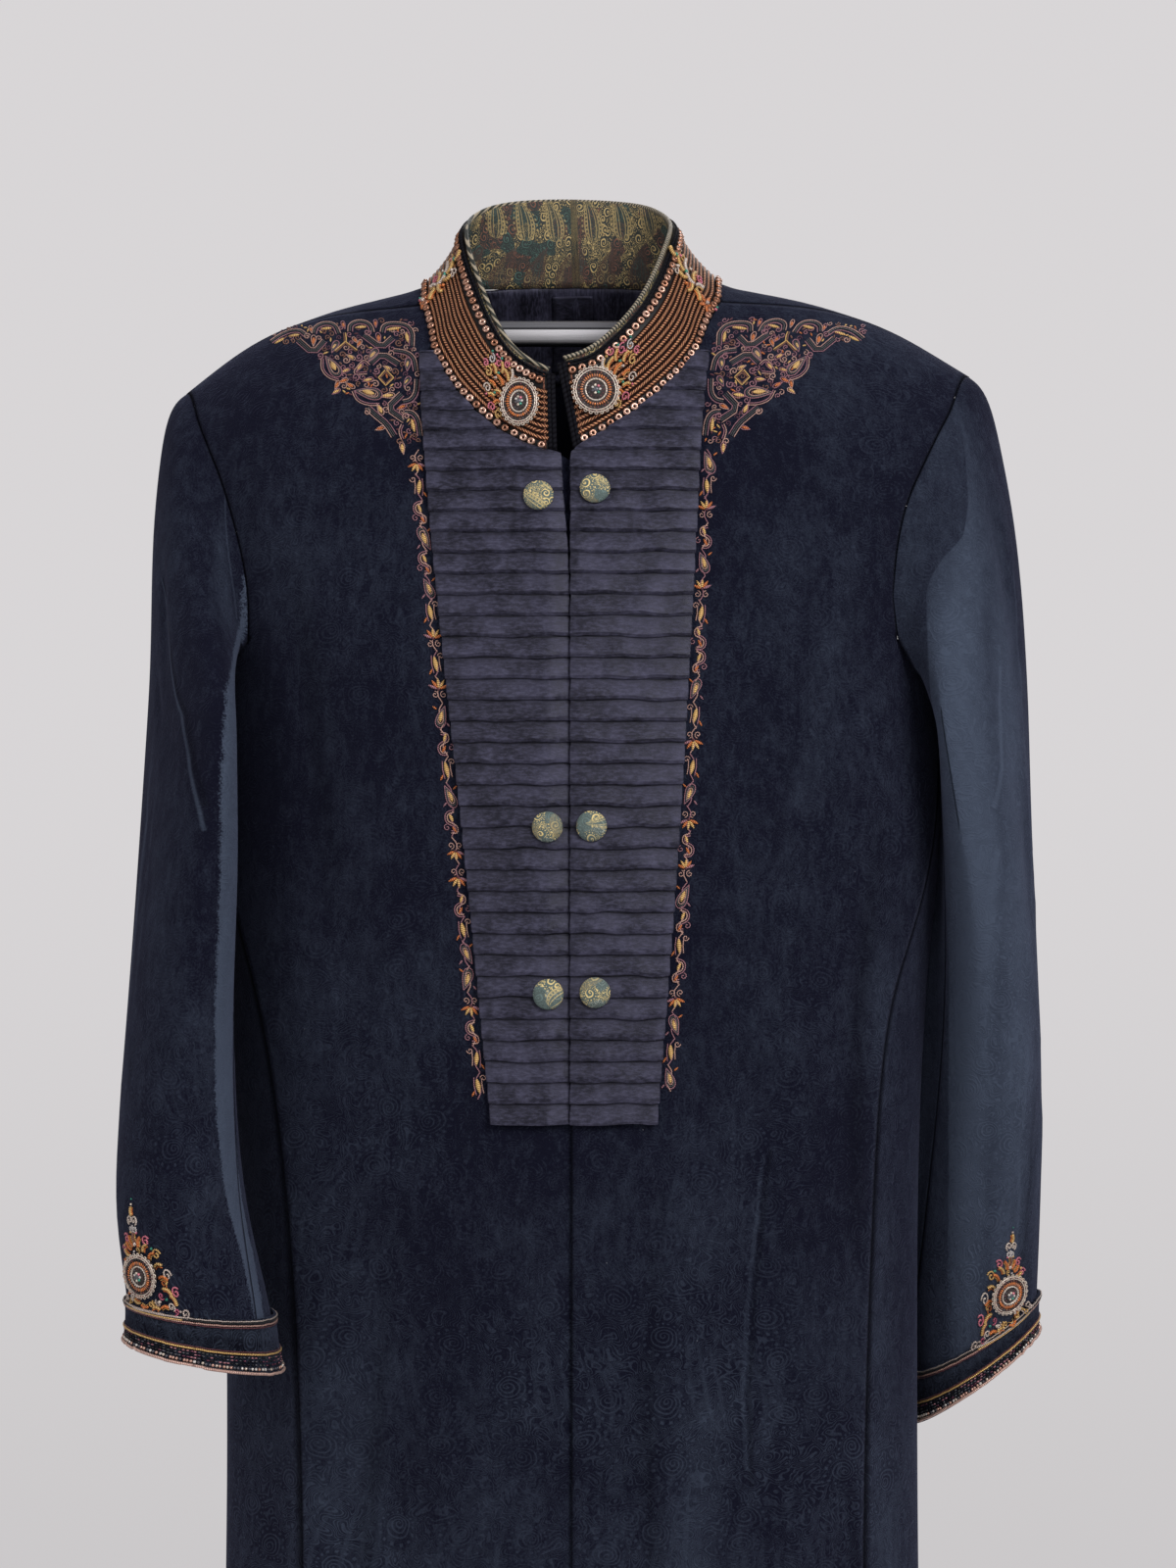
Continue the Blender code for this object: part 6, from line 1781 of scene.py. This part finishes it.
class COAT_OT_medallions(bpy.types.Operator):
    """Beaded medallions on the collar's ends and the cuffs"""
    bl_idname = "coat.medallions"
    bl_label = "Medallions"

    def execute(self, context):
        felt, tree, shader = start_material("medallion felt", 0.8)
        grain = noise(place_of(tree), 700.0, 3.0)
        fill(shader, {"Base Color": blend(grain, (0.020, 0.016, 0.018), (0.075, 0.050, 0.045))})
        bump(shader, grain, 0.0003, 0.6)
        beads = bead_material("medallion beads", 0.30, 0.25, 0.6)
        for node in [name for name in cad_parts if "medallion" in name]:
            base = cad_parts[node]
            base.data.materials.clear()
            base.data.materials.append(felt)
            self.add_rings(node, beads)
        return {"FINISHED"}

    @staticmethod
    def add_rings(node, beads):
        """Rings of beads and bars round a crystal, fitted to the medallion's own plane."""
        points = points_of(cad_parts[node])
        centre = points.mean(axis=0)
        normal = Vector(np.linalg.svd(points - centre, full_matrices=False)[2][2])
        if normal.y > 0:
            normal = -normal
        up = (Vector((0, 0, 1)) - normal * normal.z).normalized()
        across = up.cross(normal).normalized()
        wide, high = (np.abs((points - centre) @ np.array(way)).max() for way in (across, up))
        base = Vector(centre) + normal * (((points - centre) @ np.array(normal)).max() - 0.0016)
        draws = random.Random(len(node))
        facet = shape_of(bpy.ops.mesh.primitive_cone_add, vertices=10, radius1=0.5, radius2=0.24, depth=0.5)
        ball, batch = ball_shape(), Batch()

        def spot(share, turn):
            place = across * (wide * share * math.cos(turn)) + up * (high * share * math.sin(turn))
            return base + place, normal

        for share, radius, colour in ((0.97, 0.46, "pale"), (0.87, 0.40, "cream"), (0.46, 0.55, "cream")):
            batch.cord([spot(share, math.tau * k / 40) for k in range(40)], radius, colour, 0.3, closed=True)
        for k in range(26):
            middle = spot(1.0, math.tau * (k + 0.5) / 26)[0]
            loop = [(middle + across * (0.9 * MM * math.cos(t)) + up * (0.9 * MM * math.sin(t)), normal)
                    for t in np.arange(0, math.tau, math.tau / 8)]
            batch.cord(loop, 0.30, "pale" if k % 2 else "cream", sides=4, closed=True)
        for count, share, size, long, lift, colours in MEDALLION_ROWS:
            for k in range(count):
                turn = math.tau * k / count
                out = spot(share + 0.1, turn)[0] - spot(share, turn)[0]
                batch.stamp(ball, spot(share, turn), out, (size * long, size, size * 0.9),
                            draws.choice(colours), lift)
        batch.stamp(facet, spot(0, 0), across, (5.2, 5.2, 4.5), "smoke", 1.0)
        for k, colour in enumerate(("silver", "rosy", "cream", "silver", "smoke", "cream", "teal")):
            batch.stamp(ball, spot(0.17, math.tau * k / 7), across, (1.9, 1.9, 1.5), colour, 1.6)
        batch.finish(node + "_beads", beads)


# Sprays by the collar's medallions, by kind: distance from the opening, height, angle, size, colour
SPRAY = {
    "coil": ((13, 11, 40, 8, "amber"), (17, 5, 20, 8, "ember"), (15, -3, -10, 7, "amber"),
             (9, 14, 75, 7, "cream"), (19, 13, 60, 7, "amber"), (22, -1, 0, 6, "ember"),
             (14, -9, -40, 7, "ember"), (20, -8, -25, 6, "amber"), (25, 8, 30, 7, "amber")),
    "curl": ((24, 14, 40, 3.4, "rosy"), (29, 3, 10, 3.2, "amber"), (25, -6, -30, 3.0, "cream"),
             (16, 18, 90, 2.8, "rosy"), (31, 12, 60, 3.0, "silver"), (17, -14, -60, 2.8, "rosy"),
             (11, -15, -90, 2.6, "amber"), (34, 6, 0, 2.4, "rosy")),
    "bead": ((22, 18, 0, 2.2, "teal"), (28, 17, 0, 2.0, "rosy"), (33, 16, 0, 1.8, "teal"),
             (20, 8, 0, 2.2, "teal"), (26, 11, 0, 2.0, "rosy"), (29, 8, 0, 1.9, "amber"),
             (12, 17, 0, 2.0, "amber"), (21, 4, 0, 2.2, "cream"), (18, -5, 0, 2.0, "teal"),
             (24, -10, 0, 1.8, "rosy"), (12, -12, 0, 1.8, "amber"), (35, 11, 0, 1.6, "amber")),
}
# Cluster on each side of the collar, by kind: distance back, height, angle, size, colour
CLUSTER = {
    "coil": ((0, 12, 70, 8, "amber"), (4, 8, 30, 8, "cream"), (-4, 8, 120, 7, "amber"),
             (0, 3, 90, 7, "cream"), (5, 1, 10, 7, "amber"), (-5, 1, 170, 7, "amber"),
             (3, -4, -50, 6, "cream"), (-3, -5, -120, 6, "amber"), (-1, 20, 90, 6, "amber")),
    "curl": ((7, 12, 40, 3, "amber"), (-7, 13, 140, 3, "cream"), (8, -3, -20, 2.6, "rosy")),
    "bead": ((0, 17, 0, 2.4, "teal"), (4, 14, 0, 2.0, "rosy"), (-4, 13, 0, 2.0, "cream"),
             (0, 7, 0, 2.4, "teal"), (6, 5, 0, 2.0, "cream"), (-6, 4, 0, 2.0, "ember"),
             (1, -18, 0, 1.8, "rosy"), (3, -21, 0, 1.5, "teal")),
    "petal": ((-1, -12, 0, 4.6, "ember"),),
}
# Triangle of coils and scrolls over each cuff, round its medallion, by kind: distance forwards, height,
# angle,
# size and colour; a second colour stands for the same motif mirrored
CUFF_TRIANGLE = {
    "curl": ((-2.3, 31, 250, 2.6, "cream", "cream"), (-1.8, 26, 60, 2.2, "silver", "silver"),
             (10, 20, 30, 2.8, "rosy", "rosy"), (16, 13, 10, 2.8, "amber", "rosy"),
             (20, 3, 0, 2.8, "cream", "cream"), (23, -5, 40, 2.6, "rosy", "cream"),
             (17, -13, 300, 2.4, "cream", "cream")),
    "coil": ((0, 36, 90, 5, "amber"), (0, 21, 90, 6, "brown"), (4, 19, 60, 6.5, "ember", "ember"),
             (8, 16, 40, 6.5, "amber", "ember"), (12, 12, 30, 6.5, "ember", "amber"),
             (15, 7, 10, 6.5, "amber", "ember"), (16.5, 1, -5, 6.5, "ember", "amber"),
             (17, -5, -25, 6.5, "amber", "ember"), (20, -9, -60, 6, "amber", "ember"),
             (12, -14, 10, 6, "ember", "amber"), (5, -15.5, 0, 6, "amber", "ember")),
    "bead": ((0, 40, 0, 1.6, "cream"), (0, 43, 0, 1.1, "teal"), (0, 17.5, 0, 2.8, "cream"),
             (13.5, 16, 0, 2.0, "teal", "amber"), (18, -1, 0, 2.0, "amber", "teal"),
             (9, -11, 0, 2.6, "cream", "cream"), (15, -9, 0, 2.0, "teal", "rosy"),
             (3, 24, 0, 1.6, "rosy", "amber")),
}


def draw_motif(pen, kind, a, b, angle, size, colour, scale):
    """One coil, curl, petal or bead on the pen's chart."""
    if kind == "coil":
        turn = math.radians(angle)
        bend = [(a - size / 2 * math.cos(turn), b - size / 2 * math.sin(turn)),
                (a - size * 0.22 * math.sin(turn), b + size * 0.22 * math.cos(turn)),
                (a + size / 2 * math.cos(turn), b + size / 2 * math.sin(turn))]
        pen.line(rounded(bend), colour, 0.95 * scale, step=0.8)
        pen.line(rounded(beside(bend, -1.3 * scale)), "amber" if colour != "amber" else "ember", 0.4 * scale)
    elif kind == "curl":
        pen.line(curl(a, b, size, angle, 1.3, 1 if a >= 0 else -1), colour, 0.55)
    elif kind == "petal":
        draw_flower(pen, a, b, size, angle, "orange")
    else:
        pen.bead(a, b, size, colour)


def draw_motifs(pen, motifs, scale=1.0):
    """Motifs of a table; a row's second colour stands for the same motif mirrored."""
    for kind, rows in motifs.items():
        for a, b, angle, size, *colours in rows:
            draw_motif(pen, kind, a * scale, b * scale, angle, size * scale, colours[0], scale)
            if len(colours) > 1:
                draw_motif(pen, kind, -a * scale, b * scale, 180 - angle, size * scale, colours[1], scale)


class COAT_OT_sprays(bpy.types.Operator):
    """Coils, curls and beads by the medallions, on the collar's sides and over the cuffs"""
    bl_idname = "coat.sprays"
    bl_label = "Sprays"

    def execute(self, context):
        thread = thread_material("coiled wire", 0.34, 0.35, 0.0011)
        for side, word in SIDES:
            low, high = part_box("collar_medallion_" + word)
            along, up = collar_nearest((low + high) / 2)
            batch = Batch()
            draw_motifs(collar_pen(batch, along, up, -side), SPRAY)
            along, up = collar_nearest(self.cluster_place(side), flat=True)
            draw_motifs(collar_pen(batch, along, up, -side), CLUSTER, 1.3)
            batch.finish("collar_sprays_" + word, thread)
            self.over_cuff(word, thread)
        self.edge_collar()
        return {"FINISHED"}

    @staticmethod
    def cluster_place(side):
        """Middle of the cluster on one side of the collar, seen from the front."""
        return Vector((73.0 * MM, 0.0, 24.0 * MM)) if side > 0 else Vector((-80.0 * MM, 0.0, 24.0 * MM))

    @staticmethod
    def over_cuff(word, thread):
        """Triangle of scrolls standing on the band, round the cuff's medallion."""
        low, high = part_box("cuff_medallion_" + word)
        centre = (low + high) / 2
        axis = sleeve_middle(word, centre.z)
        middle = math.degrees(math.atan2(centre.x - axis.x, -(centre.y - axis.y)))
        parts = [bpy.data.objects["velvet_%s_%s" % (part, word)]
                 for part in ("sleeve_top", "sleeve_under", "cuff")]
        ground, band_only = Surface(*parts), Surface(parts[-1])
        forward = 1 if word == "right" else -1
        tops = []
        for turn in (-25, 25):
            found = [z for z in np.arange(centre.z - 0.08, centre.z + 0.05, 0.001)
                     if band_only.round(Vector((axis.x, axis.y, z)), middle + forward * turn)]
            tops.append(max(found) if found else centre.z - 0.018)
        tilt = (tops[1] - tops[0]) / (2 * math.radians(25) * SLEEVE_ROUND)
        base = (tops[0] + tops[1]) / 2 - centre.z

        def place(a, b):
            share = smooth(16.0, -14.0, b)
            drop = (base / MM + 16.5) * share + tilt * a * share
            z = centre.z + (b + drop) * MM
            at = sleeve_middle(word, z)
            return ground.round(at, middle + forward * math.degrees(a * MM / SLEEVE_ROUND))

        batch = Batch()
        pen = Pen(batch, place)
        draw_motifs(pen, CUFF_TRIANGLE)
        draws = random.Random(31)
        for _ in range(900):
            a, b = draws.uniform(-24, 24), draws.uniform(-16, 24)
            if abs(a) > 25 - (b + 16) * 0.52 or math.hypot(a, b) < 13.2 or not pen.free(a, b, 2.0):
                continue
            if draws.random() < 0.55:
                pen.line(curl(a, b, 1.8, draws.uniform(0, 360), 1.1, draws.choice((-1, 1))),
                         draws.choice(("orange", "gold", "pale", "pink", "gold")), 0.5)
            else:
                pen.bead(a, b, draws.uniform(1.2, 2.0),
                         draws.choice(("gold", "pale", "orange", "teal", "silver")))
        for down, colour in ((-17.6, "pale"), (-18.8, "gold")):
            pen.line([(-25, down), (25, down)], colour, 0.6)
        pen.line(curl(27, -15.6, 2.6, 300, 1.2, 1), "pale", 0.6)
        pen.line(curl(-27, -15.6, 2.6, 240, 1.2, -1), "pale", 0.6)
        batch.finish("cuff_scrolls_" + word, thread)

    @staticmethod
    def edge_collar():
        """Dark twisted cords along the collar's two front ends and beside its upper row of beads."""
        batch = Batch()
        for along, inside in ((0.0, 1), (1.0, -1)):
            for step, radius, colour in ((-0.0034, 1.45, "black"), (-0.0008, 1.5, "black"),
                                         (0.0022, 0.6, "brown")):
                spots = []
                for k in range(29):
                    point, normal = collar_site(along, 0.01 + 0.97 * k / 28, 0.0)
                    near = collar_site(along + inside * 0.01, 0.01 + 0.97 * k / 28, 0.0)[0]
                    spots.append((point + (near - point).normalized() * step, normal))
                batch.cord(spots, radius, colour, sides=7)
        for up, radius, colour in ((0.925, 0.85, "black"), (0.968, 0.7, "black")):
            spots = [collar_site(0.004 + 0.992 * k / 240, up, 0.0006) for k in range(241)]
            batch.cord(spots, radius, colour)
        batch.finish("collar_edging", thread_material("dark cord", 0.8, 0.0, 0.0030, 0.06), "braid")


class COAT_OT_embroidery(bpy.types.Operator):
    """Corded embroidery at the shoulders and down the bib's edges"""
    bl_idname = "coat.embroidery"
    bl_label = "Embroidery"

    def execute(self, context):
        trim = context.scene.coat_trim
        thread = thread_material("embroidery thread")
        for side, word in SIDES:
            ground = Surface(bpy.data.objects["velvet_front_" + word])
            column = 1 if side > 0 else 2

            def corner(a, b):
                z = (3.5 - b) * MM
                return ground.front(side * (read(BIB_EDGE, z / MM, column) * MM + 0.0008 + a * MM), z)

            def edge(a, b):
                return ground.front(side * (read(BIB_EDGE, b, column) + 5.6) * MM + a * MM, b * MM)

            batch = Batch()
            draw_shoulder(Pen(batch, corner), 5 + side)
            draw_vine(Pen(batch, edge, side), -90, -466, trim.vine_pitch, 3 + side)
            batch.finish("embroidery_" + word, thread)
        return {"FINISHED"}


class COAT_OT_hanger(bpy.types.Operator):
    """Chrome bar and black arms of the hanger"""
    bl_idname = "coat.hanger"
    bl_label = "Hanger"

    def execute(self, context):
        chrome, tree, shader = start_material("chrome with painted reflections", 0.25, 0.26)
        place = place_of(tree)
        lines = noise(vectors("MULTIPLY", place, (18.0, 900.0, 900.0))[0], 1.0, 3.0)
        low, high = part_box("hanger_bar")
        # Painted reflection: the bar's colour is banded by height, a grey strip near the top, a dark line, a
        # bright band and a dark lower part
        up = (split(place)[2] - low.z) / (high.z - low.z)
        shine = blend(lines, (0.96, 0.93, 1.0), (1.0, 0.98, 1.0))
        shine = blend(ramp(up, 0.62, 0.66), shine, (0.20, 0.20, 0.22))
        shine = blend(band(up, 0.64, 0.06), shine, (0.02, 0.02, 0.025))
        shine = blend(ramp(up, 0.08, 0.24, 1.0, 0.0), shine, (0.05, 0.05, 0.06))
        fill(shader, {"Base Color": shine, "Roughness": ramp(lines, 0.3, 0.7, 0.20, 0.34)})
        bar = cloth_copy("hanger_bar", "chrome_bar", chrome, 0)
        modify(bar, "BEVEL", width=0.0012, segments=3, limit_method="ANGLE", angle_limit=math.radians(50))
        finish_piece(bar, "chrome", "hanger_bar")
        black, tree, shader = start_material("black lacquer", 0.4, 0.0, Coat_Weight=0.3)
        worn = noise(place_of(tree), 60.0, 5.0)
        fill(shader, {"Base Color": blend(ramp(worn, 0.6, 0.8), (0.012, 0.012, 0.014),
                                          (0.045, 0.045, 0.050)),
                      "Roughness": ramp(worn, 0.3, 0.7, 0.32, 0.55)})
        for _, word in SIDES:
            arm = cloth_copy("hanger_arm_" + word, "lacquered_arm_" + word, black, 1, sharp=70)
            finish_piece(arm, "arm_finish", "hanger_arm_" + word)
        return {"FINISHED"}


# Lights: name, place, size, share of the key light's power, place they aim at
LIGHTS = (
    ("key light", (1.35, -1.9, 1.15), 1.2, 1.0, (0.05, 0, -0.35)),
    ("fill light", (-1.9, -1.7, 0.5), 1.8, 0.30, (0, 0, -0.4)),
    ("back light", (0.4, 2.2, 1.2), 1.6, 0.5, (0, 0, -0.4)),
)
# Radius of the floor's disc, in metres
FLOOR_RADIUS = 1.45
# Camera: place in metres, sensor's width and lens in millimetres
CAMERA_PLACE = (0.010, -1.8, -0.28)
CAMERA_SENSOR = 36.0
CAMERA_LENS = 66.4


class COAT_OT_stage(bpy.types.Operator):
    """Pale floor, soft lights and the camera"""
    bl_idname = "coat.stage"
    bl_label = "Stage"

    def execute(self, context):
        stage = context.scene.coat_stage
        scene = context.scene
        bpy.ops.mesh.primitive_circle_add(vertices=96, radius=FLOOR_RADIUS, fill_type="NGON",
                                          location=(0, 0, stage.floor_height))
        floor = context.object
        floor.name = "floor"
        bpy.ops.object.transform_apply(location=True, rotation=True, scale=True)
        paper, tree, shader = start_material("floor paper", 0.7)
        grain = noise(place_of(tree), 3.0, 6.0)
        fill(shader, {"Base Color": blend(grain, (0.66, 0.64, 0.64), (0.70, 0.69, 0.69))})
        floor.data.materials.append(paper)
        world = bpy.data.worlds.new("studio")
        scene.world = world
        world.use_nodes = True
        tree = world.node_tree
        # The backdrop the camera sees is painted darker towards the bottom, a painted shade; the coat is lit
        # by the even backdrop colour at the ambient share
        height = split(put("ShaderNodeTexCoord", tree=tree)["Generated"])[2]
        backdrop_painted_shade = blend(ramp(height, -0.45, 0.05), dimmed(stage.backdrop, 0.80), stage.backdrop)
        fill(tree.nodes["Background"], {"Color": backdrop_painted_shade})
        lit = put("ShaderNodeBackground", {"Color": rgb(stage.backdrop), "Strength": stage.ambient}, tree)
        shown = {0: put("ShaderNodeLightPath", tree=tree)["Is Camera Ray"], 1: lit[0],
                 2: Results(tree.nodes["Background"])[0]}
        fill(tree.nodes["World Output"], {"Surface": put("ShaderNodeMixShader", shown)[0]})
        for name, place, size, share, aim in LIGHTS:
            bpy.ops.object.light_add(type="AREA", location=place)
            light = context.object
            light.name = name
            light.data.energy = stage.key_power * share
            light.data.size = size
            light.rotation_euler = (Vector(aim) - Vector(place)).to_track_quat("-Z", "Y").to_euler()
        bpy.ops.object.camera_add(location=CAMERA_PLACE, rotation=(math.radians(90), 0, 0))
        scene.camera = context.object
        scene.camera.data.sensor_width = CAMERA_SENSOR
        scene.camera.data.lens = CAMERA_LENS
        scene.view_settings.view_transform = "Standard"
        return {"FINISHED"}


class COAT_PT_panel(bpy.types.Panel):
    """Pieces of the coat, in the sidebar"""
    bl_label = "Sherwani coat"
    bl_idname = "COAT_PT_panel"
    bl_space_type = "VIEW_3D"
    bl_region_type = "UI"
    bl_category = "Sherwani"

    def draw(self, context):
        for operator in OPERATORS:
            self.layout.operator(operator.bl_idname)
        for name, group in SETTINGS:
            box = self.layout.box()
            for field in group.__annotations__:
                box.prop(getattr(context.scene, name), field)


OPERATORS = (COAT_OT_velvet, COAT_OT_bib, COAT_OT_neck_lining, COAT_OT_collar, COAT_OT_cuffs, COAT_OT_buttons,
             COAT_OT_medallions, COAT_OT_sprays, COAT_OT_embroidery, COAT_OT_hanger, COAT_OT_stage)
SETTINGS = (("coat_velvet", VelvetSettings), ("coat_satin", SatinSettings), ("coat_trim", TrimSettings),
            ("coat_stage", StageSettings))


def register():
    """Registers the settings, operators and panel."""
    for name, group in SETTINGS:
        bpy.utils.register_class(group)
        setattr(bpy.types.Scene, name, PointerProperty(type=group))
    for operator in OPERATORS:
        bpy.utils.register_class(operator)
    bpy.utils.register_class(COAT_PT_panel)


def unregister():
    """Removes the panel, operators and settings."""
    bpy.utils.unregister_class(COAT_PT_panel)
    for operator in reversed(OPERATORS):
        bpy.utils.unregister_class(operator)
    for name, group in reversed(SETTINGS):
        delattr(bpy.types.Scene, name)
        bpy.utils.unregister_class(group)


def main():
    """Builds every piece in order."""
    register()
    for operator in OPERATORS:
        family, name = operator.bl_idname.split(".")
        getattr(getattr(bpy.ops, family), name)()


if __name__ == "__main__":
    main()
